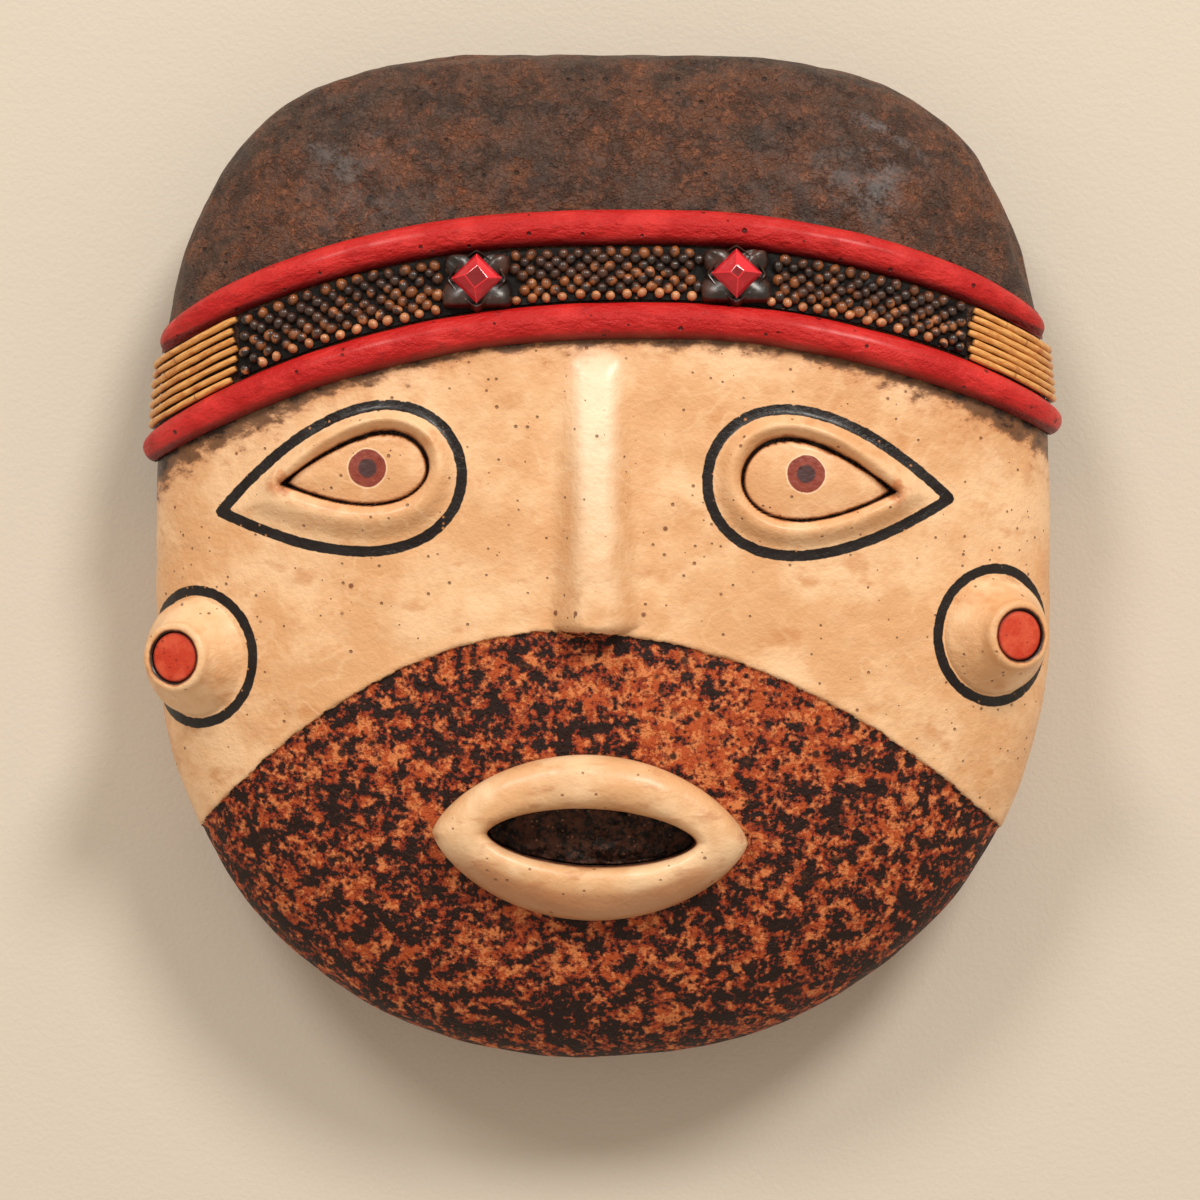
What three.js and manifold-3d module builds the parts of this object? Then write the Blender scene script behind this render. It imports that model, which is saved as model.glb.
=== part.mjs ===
// A ceremonial mask, lying on its back rim: one carved hollow shell with a cap, a nose, ringed eyes
// and two cheek knobs, dressed with an applied mouth ring, a forehead band of two red rolls, a strip
// of seeds between them, bundles of split cane at both temples and two red stones in dark mounts.
// Millimetres. +X is to the viewer's right, +Y towards the cap, +Z out of the face. The origin is
// under the middle of the outline, on the plane of the rim.
import * as THREE from "three";
import { mergeVertices } from "three/addons/utils/BufferGeometryUtils.js";
import Module from "manifold-3d";

const wasm = await Module();
wasm.setup();

// The shell's outline: a squarish cap above the widest line, half an ellipse below it.
const HALF_WIDTH = 112.6;
const CAP_REACH = 142.75;
const CHIN_REACH = 110.25;
const CAP_SQUARENESS_LEFT = 3.6;
const CAP_SQUARENESS_RIGHT = 3.65;
const CHIN_SQUARENESS = 2.1;
const CHIN_LEAN = -2.5;
const WIDEST_Y = (CHIN_REACH - CAP_REACH) / 2;

// The shell in section: side wall, rounded shoulder and dome, hollow behind.
const SIDE_HEIGHT = 30;
const DOME_RISE = 36;
const DOME_SQUARENESS = 2.5;
const RIM_TUCK = 4;
const RIM_ROUNDING = 1.5;
const WALL = 9;

// Room left between two pieces that touch.
const CLEARANCE = 0.3;
const SMALLEST_STEP = 0.06;

// The forehead band: two rolls along arcs that drop towards the temples.
const UPPER_ARC = { crest: 79.6, drop: 23, tilt: 1.6, half: 107, power: 2.4 };
const LOWER_ARC = { crest: 56.7, drop: 26.4, tilt: 3.3, half: 112, power: 2.15 };
const ROLL_RADIUS = 4.5;
const ROLL_LIFT = 0.4;
const ROLL_END_TAPER = 0.78;
const UPPER_ROLL = { mix: 0, endSink: 2.8, wrap: 0 };
const LOWER_ROLL = { mix: 1, endSink: 0.9, wrap: 8 };

// The strip of dark pitch with seeds pressed into it, between the rolls.
const STRIP_THICKNESS = 1.2;
const STRIP_HALF_LENGTH = 89;
const SEED_RADIUS = 1.35;
const SEED_PITCH = 3.85;
const SEED_ROWS = 7;
const SEED_HEIGHT = 1.8;
const SEED_JITTER = 0.35;

// The split canes at the temples.
const CANE_COUNT = 7;
const CANE_RADIUS = 0.72;
const CANE_HEIGHT_SHARE = 1.25;
const CANE_WRAP = 15;
const CANE_STAGGER = 2.2;
const CANE_MIDDLE = 100;
const TEMPLE_PLACE = 0.85;

// The stones and their four-petalled mounts.
const STONE_X = [-30.6, 32.3];
const STONE_HALF_DIAGONAL = 6.2;
const STONE_HEIGHT = 3.6;
const STONE_TABLE_SHARE = 0.45;
const MOUNT_COLLAR_HEIGHT = 3.4;
const PETAL_LENGTH = 4.6;
const PETAL_WIDTH = 3.7;
const PETAL_HEIGHT = 3.4;
const PETAL_OFFSET = 5.6;

// The nose: a straight ridge that widens and rises downwards.
const NOSE = { x: -1.8, top: 47, bottom: -19.5, topWidth: 5.5, bottomWidth: 8.2, height: 9.5 };

// The eyes: a teardrop outline, a raised rim and a teardrop opening with an eyeball in it.
const EYES = [
  {
    outline: { x: -64.4, y: 16.5, halfLength: 30.3, halfHeight: 17.6, towards: 191.4 },
    opening: { x: -60.5, y: 20.4, halfLength: 18.8, halfHeight: 9.8, towards: 190.3 },
  },
  {
    outline: { x: 55.2, y: 16.4, halfLength: 29.9, halfHeight: 17.8, towards: -5.2 },
    opening: { x: 52.5, y: 17.8, halfLength: 19.4, halfHeight: 11, towards: -8.1 },
  },
];
const RIM_CREST = 3.2;
const RIM_FOOT = 0.4;
const SOCKET_DEPTH = 2.4;
const EYEBALL_BULGE = 1.6;
const EYEBALL_SET = 1.2;

// The cheek knobs: leaning cones with a red disc let into their ends, each set in from its side.
const KNOBS = [
  { name: "left", side: -1, setIn: 12, y: -25.3, lean: 24 },
  { name: "right", side: 1, setIn: 15.5, y: -19.9, lean: 26 },
];
const KNOB_BASE_RADIUS = 15.2;
const KNOB_TOP_RADIUS = 8.8;
const KNOB_HEIGHT = 11.5;
const KNOB_ROOT = 5;
const KNOB_ROUNDING = 1.6;
const DISC_RADIUS = 6.1;
const DISC_THICKNESS = 1.4;
const DISC_RECESS = 0.4;

// The mouth: a lens-shaped hole, a raised ring around it and dark stuffing behind.
const MOUTH_FROM_CHIN = 57.4;
const MOUTH_Y = WIDEST_Y - CHIN_REACH + MOUTH_FROM_CHIN;
const MOUTH_HOLE = {
  x: -2.9,
  y: MOUTH_Y,
  halfLength: 25.3,
  halfHeight: 7.1,
  tilt: -2.5,
  point: 1.25,
};
const MOUTH_RING = {
  x: -3.2,
  y: MOUTH_Y - 0.1,
  halfLength: 38.5,
  halfHeight: 20.4,
  tilt: -2.2,
  point: 1.4,
};
const RING_HEIGHT = 8;
const STUFFING_RECESS = 4;

// How finely the round forms are faceted.
const BODY_SIDES = 60;
const DOME_STEPS = 8;
const HOLLOW_SIDES = 40;
const HOLLOW_STEPS = 5;
const EYE_SIDES = 24;
const KNOB_SIDES = 20;
const MOUTH_SIDES = 28;
const ROLL_STEPS = 24;

const FULL_TURN = 2 * Math.PI;
const QUARTER_TURN = Math.PI / 2;
const TEARDROP_PEAK = 0.7698; // the largest value of sin(t) * sin(t / 2)
const NUDGE = 1e-3;

// Distance from the widest line's middle to the outline, in one direction.
function reachAt(angle) {
  const up = Math.sin(angle) > 0;
  const rightness = (1 + Math.cos(angle)) / 2;
  const capPower = THREE.MathUtils.lerp(CAP_SQUARENESS_LEFT, CAP_SQUARENESS_RIGHT, rightness);
  const power = up ? capPower : CHIN_SQUARENESS;
  const across = Math.abs(Math.cos(angle)) / HALF_WIDTH;
  const along = Math.abs(Math.sin(angle)) / (up ? CAP_REACH : CHIN_REACH);
  return (across ** power + along ** power) ** (-1 / power);
}

// How far the chin leans sideways at a height.
function leanAt(y) {
  return CHIN_LEAN * (Math.min(0, y - WIDEST_Y) / CHIN_REACH) ** 2;
}

// A point of the plain shell. The station runs from 0 at the crown of the dome, through 1 at the
// widest line of the side, to 2 at the rim.
function skin(angle, station) {
  let share, inset, z;
  if (station <= 1) {
    const rise = (1 - station) * QUARTER_TURN;
    share = Math.max(0, Math.cos(rise)) ** (2 / DOME_SQUARENESS);
    inset = 0;
    z = SIDE_HEIGHT + DOME_RISE * Math.sin(rise);
  } else {
    share = 1;
    inset = RIM_TUCK * (station - 1) ** 2;
    z = SIDE_HEIGHT * (2 - station);
  }
  const reach = reachAt(angle) * share - inset;
  const y = WIDEST_Y + reach * Math.sin(angle);
  return new THREE.Vector3(reach * Math.cos(angle) + leanAt(y), y, z);
}

// The outward normal of the plain shell.
function skinNormal(angle, station) {
  if (station < NUDGE) return new THREE.Vector3(0, 0, 1);
  const along = skin(angle, station + NUDGE).sub(skin(angle, station - NUDGE));
  const around = skin(angle + NUDGE, station).sub(skin(angle - NUDGE, station));
  return along.cross(around).normalize();
}

// The angle and station of the dome over a point of the plan.
function skinSpot(x, y) {
  const across = x - leanAt(y);
  const angle = Math.atan2(y - WIDEST_Y, across);
  const share = Math.min(1, Math.hypot(across, y - WIDEST_Y) / reachAt(angle));
  const rise = Math.acos(share ** (DOME_SQUARENESS / 2));
  return { angle, station: 1 - rise / QUARTER_TURN };
}

// The height of the dome over a point of the plan.
function domeHeight(x, y) {
  const { angle, station } = skinSpot(x, y);
  return skin(angle, station).z;
}

// A closed three.js geometry as a solid.
function solid(geometry) {
  const bare = new THREE.BufferGeometry();
  bare.setAttribute("position", geometry.getAttribute("position"));
  if (geometry.index) bare.setIndex(geometry.index);
  const merged = mergeVertices(bare, 1e-4);
  const corners = Array.from(merged.index.array);
  const faces = [];
  for (let i = 0; i < corners.length; i += 3) {
    const [a, b, c] = corners.slice(i, i + 3);
    if (a !== b && b !== c && c !== a) faces.push(a, b, c);
  }
  return new wasm.Manifold(
    new wasm.Mesh({
      numProp: 3,
      vertProperties: merged.getAttribute("position").array,
      triVerts: new Uint32Array(faces),
    }),
  );
}

// The main body of a solid that a cut has left with loose crumbs.
function largest(body) {
  return body.decompose().reduce((best, next) => (next.volume() > best.volume() ? next : best));
}

// A solid as a named mesh with its material.
function piece(name, body, material) {
  const mesh = body.simplify(SMALLEST_STEP).getMesh();
  const geometry = new THREE.BufferGeometry();
  geometry.setAttribute("position", new THREE.BufferAttribute(mesh.vertProperties, 3));
  geometry.setIndex(new THREE.BufferAttribute(mesh.triVerts, 1));
  geometry.computeVertexNormals();
  const made = new THREE.Mesh(geometry, material);
  made.name = name;
  return made;
}

// Moves every vertex of a geometry and returns it as a solid.
function reshaped(geometry, place) {
  const position = geometry.getAttribute("position");
  const spot = new THREE.Vector3();
  for (let i = 0; i < position.count; i++) {
    const moved = place(spot.fromBufferAttribute(position, i), i);
    position.setXYZ(i, moved.x, moved.y, moved.z);
  }
  return solid(geometry);
}

// Turns a list of stations into a solid of revolution and presses it to a new form.
function pressed(stations, sides, place) {
  const outline = stations.map((_, i) => new THREE.Vector2(1, i));
  return reshaped(new THREE.LatheGeometry(outline, sides), (_, i) => {
    const turn = (Math.floor(i / stations.length) % sides) / sides;
    return place(turn * FULL_TURN, stations[i % stations.length]);
  });
}

// The plain domed shell as a full solid, grown outwards or shrunk inwards, from a floor level up.
function blank(growth, floor, sides, domeSteps) {
  const flat = [{ station: 2, edge: 0 }];
  const bevel = RIM_ROUNDING / SIDE_HEIGHT;
  if (growth === 0) flat.push({ station: 2, edge: 1 }, { station: 2 - bevel });
  const stations = [...flat, { station: growth === 0 ? 1.5 : 2 }, { station: 1.25 }];
  for (let i = 0; i <= domeSteps; i++) stations.push({ station: 1 - i / domeSteps });
  return pressed(stations, sides, (angle, { station, edge }) => {
    const on = skin(angle, station).addScaledVector(skinNormal(angle, station), growth);
    if (station === 2) on.z = floor;
    if (edge === 0) on.set(0, WIDEST_Y, floor);
    if (edge === 1) {
      const inwards = new THREE.Vector3(-Math.cos(angle), -Math.sin(angle), 0);
      on.addScaledVector(inwards, RIM_ROUNDING);
    }
    return on;
  });
}

// A teardrop curve, pointed at t = 0.
function teardrop({ x, y, halfLength, halfHeight, towards }, t) {
  const along = halfLength * Math.cos(t);
  const across = (halfHeight / TEARDROP_PEAK) * Math.sin(t) * Math.sin(t / 2);
  const a = THREE.MathUtils.degToRad(towards);
  return new THREE.Vector2(
    x + along * Math.cos(a) - across * Math.sin(a),
    y + along * Math.sin(a) + across * Math.cos(a),
  );
}

// A lens curve, with a point at each end.
function lens({ x, y, halfLength, halfHeight, tilt, point }, t, growth = 0) {
  const along = (halfLength + growth) * Math.cos(t);
  const across = (halfHeight + growth) * Math.sign(Math.sin(t)) * Math.abs(Math.sin(t)) ** point;
  const a = THREE.MathUtils.degToRad(tilt);
  return new THREE.Vector2(
    x + along * Math.cos(a) - across * Math.sin(a),
    y + along * Math.sin(a) + across * Math.cos(a),
  );
}

// A ring between two curves, over the dome. The section is a closed list of [across, height], with
// across 0 on the inner curve and 1 on the outer one.
function ringOnDome(inner, outer, section, sides) {
  return pressed([...section, section[0]], sides, (t, [across, height]) => {
    const on = inner(t).lerp(outer(t), across);
    return new THREE.Vector3(on.x, on.y, domeHeight(on.x, on.y) + height);
  });
}

// A filled shape inside a curve, over the dome, between two heights that may change inwards. The
// layers are a list of [share of the curve, height], from the lowest middle to the highest middle.
function plugOnDome(curve, layers, sides) {
  const middle = curve(0).add(curve(Math.PI)).multiplyScalar(0.5);
  return pressed(layers, sides, (t, [share, height]) => {
    const on = middle.clone().lerp(curve(t), share);
    return new THREE.Vector3(on.x, on.y, domeHeight(on.x, on.y) + height);
  });
}

// The band's arc over the forehead at one x.
function arcY({ crest, drop, tilt, half, power }, x) {
  return crest - drop * Math.abs(x / half) ** power + (tilt * x) / half;
}

// Where an arc between the two rolls reaches the edge of the dome. The mix is 0 on the upper roll
// and 1 on the lower one.
function bandY(mix, x) {
  return THREE.MathUtils.lerp(arcY(UPPER_ARC, x), arcY(LOWER_ARC, x), mix);
}
function bandEdge(mix, side) {
  let near = 0;
  let far = HALF_WIDTH * 1.2;
  for (let i = 0; i < 40; i++) {
    const x = (near + far) / 2;
    const y = bandY(mix, side * x);
    const across = side * x - leanAt(y);
    const inside = Math.hypot(across, y - WIDEST_Y) < reachAt(Math.atan2(y - WIDEST_Y, across));
    if (inside) near = x;
    else far = x;
  }
  return (side * (near + far)) / 2;
}

// A spot of the skin on a line of the band. The swing is -90 to 90 degrees over the forehead, from
// one edge of the dome to the other, and what is beyond that is millimetres down the side wall.
function bandSpot(mix, swing, beyond = 0) {
  const side = swing < 0 ? -1 : 1;
  const x = bandEdge(mix, side) * Math.abs(Math.sin(swing));
  const spot = skinSpot(x, bandY(mix, x));
  if (beyond > 0) spot.station = 1 + beyond / SIDE_HEIGHT;
  return spot;
}

// The band's height between the middles of its rolls, square to its line, at one x.
function bandHeight(x) {
  const slope = (bandY(0.5, x + NUDGE) - bandY(0.5, x - NUDGE)) / (2 * NUDGE);
  return (bandY(0, x) - bandY(1, x)) / Math.hypot(1, slope);
}

// A line of the band as points with their normals, between two x, wrapping over the sides.
function bandPath(mix, fromX, toX, wrap, steps) {
  const swingAt = (x) => {
    const edge = bandEdge(mix, Math.sign(x) || 1);
    return Math.sign(x) * Math.asin(Math.min(1, x / edge));
  };
  const [from, to] = [swingAt(fromX), swingAt(toX)];
  const spots = [];
  const add = (spot) =>
    spots.push({ at: skin(spot.angle, spot.station), normal: skinNormal(spot.angle, spot.station) });
  const wraps = Math.ceil(wrap / 4);
  if (from <= -QUARTER_TURN) for (let i = wraps; i > 0; i--) add(bandSpot(mix, from, (wrap * i) / wraps));
  for (let i = 0; i <= steps; i++) add(bandSpot(mix, from + ((to - from) * i) / steps));
  if (to >= QUARTER_TURN) for (let i = 1; i <= wraps; i++) add(bandSpot(mix, to, (wrap * i) / wraps));
  return spots;
}

// The length of a path.
function pathLength(path) {
  return path.slice(1).reduce((sum, spot, i) => sum + spot.at.distanceTo(path[i].at), 0);
}

// A spot part of the way along a path, counted in millimetres from its start.
function alongPath(path, distance) {
  let left = distance;
  for (let i = 0; i < path.length - 1; i++) {
    const step = path[i + 1].at.distanceTo(path[i].at);
    if (left <= step || i === path.length - 2) {
      const share = left / step;
      const at = path[i].at.clone().lerp(path[i + 1].at, share);
      const normal = path[i].normal.clone().lerp(path[i + 1].normal, share).normalize();
      const forward = path[i + 1].at.clone().sub(path[i].at).normalize();
      return { at, normal, aside: forward.cross(normal).normalize() };
    }
    left -= step;
  }
}

// Bends a geometry that stands along its own Y onto a path. Its Z becomes the height over the skin.
function draped(geometry, path, liftAt, scaleAt = () => 1) {
  const half = pathLength(path) / 2;
  return reshaped(geometry, (spot) => {
    const { at, normal, aside } = alongPath(path, spot.y + half);
    const scale = scaleAt(spot.y / half);
    return at
      .clone()
      .addScaledVector(aside, spot.x * scale)
      .addScaledVector(normal, liftAt(spot.y / half) + spot.z * scale);
  });
}

// The full solid that seats every applied piece: the shell's own form plus the clearance.
const seat = blank(CLEARANCE, -1, BODY_SIDES, DOME_STEPS);

// The nose, as a capsule pressed onto the dome.
function nose() {
  const end = 1;
  const straight = 8;
  const half = straight / 2 + end;
  return reshaped(new THREE.CapsuleGeometry(end, straight, 3, 12, 7), (spot) => {
    const down = (half - spot.y) / (2 * half);
    const y = THREE.MathUtils.lerp(NOSE.top, NOSE.bottom, down);
    const width = THREE.MathUtils.lerp(NOSE.topWidth, NOSE.bottomWidth, down);
    const height = NOSE.height * Math.sin(QUARTER_TURN * Math.min(1, 0.15 + down)) ** 1.4;
    const x = NOSE.x + spot.x * width;
    return new THREE.Vector3(x, y, domeHeight(NOSE.x, y) + spot.z * height - end);
  });
}

// The raised rim of one eye, joined to the shell.
function eyeRim({ outline, opening }) {
  const section = [
    [0, -SOCKET_DEPTH - 1],
    [1, -SOCKET_DEPTH - 1],
    [1, RIM_FOOT],
    [0.55, RIM_CREST * 0.55],
    [0.28, RIM_CREST],
    [0.06, RIM_CREST * 0.85],
    [0, RIM_CREST * 0.5],
  ];
  return ringOnDome((t) => teardrop(opening, t), (t) => teardrop(outline, t), section, EYE_SIDES);
}

// What is cut away inside the rim of one eye.
function eyeSocket({ opening }) {
  const layers = [
    [0, -SOCKET_DEPTH],
    [1, -SOCKET_DEPTH],
    [1, RIM_CREST * 2],
    [0, RIM_CREST * 2],
  ];
  return plugOnDome((t) => teardrop(opening, t), layers, EYE_SIDES);
}

// The eyeball that fills the socket but for a groove around it.
function eyeball({ opening }) {
  const layers = [
    [0, -SOCKET_DEPTH - 1],
    [0.94, -SOCKET_DEPTH - 1],
    [0.94, -EYEBALL_SET - 0.4],
    [0.85, -EYEBALL_SET],
    [0.5, -EYEBALL_SET + EYEBALL_BULGE * 0.7],
    [0, -EYEBALL_SET + EYEBALL_BULGE],
  ];
  return plugOnDome((t) => teardrop(opening, t), layers, EYE_SIDES);
}

// Puts a solid that stands along +Z on the skin at a knob's place, leaning sideways.
function atKnob({ side, setIn, y, lean }, body) {
  const x = side * (HALF_WIDTH - setIn);
  return body.rotate([0, side * lean, 0]).translate([x, y, domeHeight(x, y)]);
}

// A turned solid standing along +Z from a list of [radius, height].
function turned(profile, sides) {
  const outline = profile.map(([radius, height]) => new THREE.Vector2(radius, height));
  const geometry = new THREE.LatheGeometry(outline, sides);
  geometry.rotateX(QUARTER_TURN);
  return solid(geometry);
}

// One cheek knob with the pocket for its disc.
function knob(place) {
  const slope = (KNOB_BASE_RADIUS - KNOB_TOP_RADIUS) / KNOB_HEIGHT;
  const pocket = DISC_RADIUS + CLEARANCE;
  const floor = KNOB_HEIGHT - DISC_RECESS - DISC_THICKNESS - CLEARANCE;
  const profile = [
    [0, -KNOB_ROOT],
    [KNOB_BASE_RADIUS + slope * KNOB_ROOT, -KNOB_ROOT],
    [KNOB_TOP_RADIUS + slope * KNOB_ROUNDING, KNOB_HEIGHT - KNOB_ROUNDING],
    [KNOB_TOP_RADIUS - KNOB_ROUNDING * 0.3, KNOB_HEIGHT - KNOB_ROUNDING * 0.3],
    [KNOB_TOP_RADIUS - KNOB_ROUNDING, KNOB_HEIGHT],
    [pocket, KNOB_HEIGHT],
    [pocket, floor],
    [0, floor],
  ];
  return atKnob(place, turned(profile, KNOB_SIDES));
}

// The red disc in one knob.
function disc(place) {
  const top = KNOB_HEIGHT - DISC_RECESS;
  const profile = [
    [0, top - DISC_THICKNESS],
    [DISC_RADIUS, top - DISC_THICKNESS],
    [DISC_RADIUS, top],
    [0, top],
  ];
  return atKnob(place, turned(profile, KNOB_SIDES));
}

// The mouth's hole, right through the wall.
function mouthHole(growth) {
  const layers = [
    [0, -WALL * 2],
    [1, -WALL * 2],
    [1, RING_HEIGHT * 2],
    [0, RING_HEIGHT * 2],
  ];
  return plugOnDome((t) => lens(MOUTH_HOLE, t, growth), layers, MOUTH_SIDES);
}

// The carved shell.
const hollow = blank(-WALL, -1, HOLLOW_SIDES, HOLLOW_STEPS);
function maskBody() {
  let body = blank(0, 0, BODY_SIDES, DOME_STEPS).add(nose());
  for (const place of KNOBS) body = body.add(knob(place));
  for (const eye of EYES) body = body.add(eyeRim(eye)).subtract(eyeSocket(eye)).add(eyeball(eye));
  return body.subtract(hollow).subtract(mouthHole(0));
}

// The raised ring of the mouth.
function mouthRing() {
  const section = [
    [0, -1],
    [1, -1],
    [0.96, RING_HEIGHT * 0.3],
    [0.8, RING_HEIGHT * 0.68],
    [0.5, RING_HEIGHT * 0.95],
    [0.3, RING_HEIGHT],
    [0.1, RING_HEIGHT * 0.8],
    [0, RING_HEIGHT * 0.4],
  ];
  const inner = (t) => lens(MOUTH_HOLE, t);
  const outer = (t) => lens(MOUTH_RING, t);
  return ringOnDome(inner, outer, section, MOUTH_SIDES).subtract(seat);
}

// The dark stuffing behind the mouth, as thick as what is left of the wall.
function mouthStuffing() {
  const front = blank(-STUFFING_RECESS, -1, BODY_SIDES, DOME_STEPS);
  return mouthHole(-CLEARANCE).intersect(front).subtract(hollow);
}

// One roll of the band, rounded and thinner at its ends, grown for what keeps clear of it.
const swollen = (place) => 1 - (1 - ROLL_END_TAPER) * Math.abs(place) ** 4;
function roll({ mix, endSink, wrap }, growth) {
  const path = bandPath(mix, -HALF_WIDTH * 1.2, HALF_WIDTH * 1.2, wrap, 22);
  const radius = ROLL_RADIUS + growth;
  const length = pathLength(path) - 2 * radius;
  const straight = new THREE.CapsuleGeometry(radius, length, 2, 8, ROLL_STEPS);
  const lift = (place) => ROLL_LIFT - endSink * Math.abs(place) ** 6;
  return draped(straight, path, lift, swollen);
}
const rollRoom = roll(UPPER_ROLL, CLEARANCE).add(roll(LOWER_ROLL, CLEARANCE));

// A repeatable scatter between -1 and 1 for a numbered thing.
function scatter(number, salt) {
  const wave = Math.sin(number * 12.9898 + salt * 78.233) * 43758.5453;
  return 2 * (wave - Math.floor(wave)) - 1;
}

// The middle of a stone, between the rolls.
const stoneSpot = (x) => ({ x, y: bandY(0.5, x) });

// A point over the skin at a place of the plan, as far out as asked.
function overSkin(x, y, out) {
  const { angle, station } = skinSpot(x, y);
  return skin(angle, station).addScaledVector(skinNormal(angle, station), out);
}

// Where the strip keeps flat: under the stones' mounts and at its own edges.
function seedKeepsOff(x, y, row) {
  const mountReach = PETAL_OFFSET + PETAL_LENGTH + SEED_RADIUS;
  const near = STONE_X.some((at) => Math.hypot(x - at, y - stoneSpot(at).y) < mountReach);
  return near || row < 1 || row > SEED_ROWS || Math.abs(x) > STRIP_HALF_LENGTH - SEED_RADIUS / 2;
}

// Turns the diagonal of every other cell of a grid, so that no ridge joins two seeds.
function withAlternateDiagonals(grid, isOdd) {
  const { index } = grid;
  for (let i = 0; i < index.count; i += 6) {
    const [a, b, , , c, d] = index.array.slice(i, i + 6);
    if (isOdd(a)) [a, b, c, a, c, d].forEach((corner, k) => index.setX(i + k, corner));
  }
  return grid;
}

// The pitch strip, its top pressed up into staggered seeds at every other crossing of a grid.
function seedStrip() {
  const columns = Math.round((2 * STRIP_HALF_LENGTH) / (SEED_PITCH / 2));
  const rows = SEED_ROWS + 1;
  const box = new THREE.BoxGeometry(columns, rows, 1, columns, rows, 1);
  const corners = box.getAttribute("position").clone();
  const columnOf = (i) => Math.round(corners.getX(i) + columns / 2);
  const rowOf = (i) => Math.round(rows / 2 - corners.getY(i));
  const isOdd = (i) => (columnOf(i) + rowOf(i)) % 2 === 1;
  return reshaped(withAlternateDiagonals(box, isOdd), (spot, i) => {
    const number = rowOf(i) * columns + columnOf(i);
    const x = (spot.x * 2 * STRIP_HALF_LENGTH) / columns;
    const margin = (ROLL_RADIUS + 1.5 * CLEARANCE) / bandHeight(x);
    const y = bandY(THREE.MathUtils.lerp(margin, 1 - margin, rowOf(i) / rows), x);
    if (spot.z < 0) return overSkin(x, y, CLEARANCE);
    const isSeed = !isOdd(i) && !seedKeepsOff(x, y, rowOf(i));
    const [asideX, asideY] = isSeed ? [scatter(number, 1), scatter(number, 2)] : [0, 0];
    const out = STRIP_THICKNESS + (isSeed ? SEED_HEIGHT : 0);
    return overSkin(x + SEED_JITTER * asideX, y + SEED_JITTER * asideY, out);
  });
}

// The split canes of one temple, side by side between the rolls.
function canes(side) {
  const made = [];
  const start = STRIP_HALF_LENGTH + CLEARANCE;
  const taken = ROLL_RADIUS * swollen(TEMPLE_PLACE) + CANE_RADIUS + CLEARANCE;
  const first = taken / bandHeight(side * CANE_MIDDLE);
  for (let i = 0; i < CANE_COUNT; i++) {
    const mix = THREE.MathUtils.lerp(first, 1 - first, i / (CANE_COUNT - 1));
    const inner = start + CANE_STAGGER * (0.5 + 0.5 * scatter(i, side + 5));
    const ends = [side * inner, side * HALF_WIDTH * 1.2].sort((a, b) => a - b);
    const path = bandPath(mix, ...ends, CANE_WRAP, 5);
    const cane = new THREE.CylinderGeometry(CANE_RADIUS, CANE_RADIUS, pathLength(path), 6, 7);
    cane.scale(1, 1, CANE_HEIGHT_SHARE);
    const body = draped(cane, path, () => CANE_RADIUS * CANE_HEIGHT_SHARE + CLEARANCE * 1.5);
    made.push(body.subtract(seat));
  }
  return made;
}

// Stands a solid on the skin at a stone's place, square to it.
function atStone(x, out, body) {
  const spot = stoneSpot(x);
  const { angle, station } = skinSpot(spot.x, spot.y);
  const normal = skinNormal(angle, station);
  const turn = new THREE.Quaternion().setFromUnitVectors(new THREE.Vector3(0, 0, 1), normal);
  const at = overSkin(spot.x, spot.y, out);
  const matrix = new THREE.Matrix4().compose(at, turn, new THREE.Vector3(1, 1, 1));
  return body.transform(matrix.elements);
}

// The four-sided stone with its flat table.
function stoneForm(growth) {
  const corner = STONE_HALF_DIAGONAL + growth;
  return turned(
    [
      [0, 0 - growth],
      [corner * 0.8, 0 - growth],
      [corner, STONE_HEIGHT * 0.35],
      [corner * STONE_TABLE_SHARE, STONE_HEIGHT + growth],
      [0, STONE_HEIGHT + growth],
    ],
    4,
  );
}

// One stone's mount: a square collar with four petals around it.
function mountForm(growth) {
  const around = STONE_HALF_DIAGONAL + growth;
  const collar = turned(
    [
      [0, -1],
      [around + 1, -1],
      [around + 1.4, MOUNT_COLLAR_HEIGHT * 0.6],
      [around + 0.4, MOUNT_COLLAR_HEIGHT + growth],
      [0, MOUNT_COLLAR_HEIGHT + growth],
    ],
    8,
  );
  const petals = [45, 135, 225, 315].map((turn) => {
    const petal = new THREE.SphereGeometry(1, 7, 4);
    petal.rotateX(QUARTER_TURN);
    petal.scale(PETAL_LENGTH + growth, PETAL_WIDTH + growth, PETAL_HEIGHT + growth);
    petal.translate(PETAL_OFFSET, 0, 0.4);
    petal.rotateZ(THREE.MathUtils.degToRad(turn));
    return solid(petal);
  });
  return wasm.Manifold.union([collar, ...petals]);
}
const mountSeat = blank(STRIP_THICKNESS + 2 * CLEARANCE, -1, BODY_SIDES, DOME_STEPS);
const STONE_LEVEL = STRIP_THICKNESS + MOUNT_COLLAR_HEIGHT * 0.75;

function mount(x) {
  return atStone(x, STRIP_THICKNESS, mountForm(0))
    .subtract(mountSeat)
    .subtract(rollRoom)
    .subtract(atStone(x, STONE_LEVEL, stoneForm(CLEARANCE)));
}

function stone(x) {
  return atStone(x, STONE_LEVEL, stoneForm(0));
}

const finish = (color, roughness, metalness = 0) =>
  new THREE.MeshStandardMaterial({ color, roughness, metalness });
const FACE = finish(0xdeb88c, 0.42);
const LIP = finish(0xe6c39b, 0.4);
const PITCH = finish(0x1c1512, 0.35);
const STUFFING = finish(0x2a1d17, 0.7);
const RED_ROLL = finish(0xc81c1c, 0.45);
const SEED_STRIP = finish(0x4a3226, 0.3);
const CANE = finish(0xc79650, 0.4);
const STONE = finish(0xb80f26, 0.1);
const ORANGE_DISC = finish(0xcf4b2c, 0.5);

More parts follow.
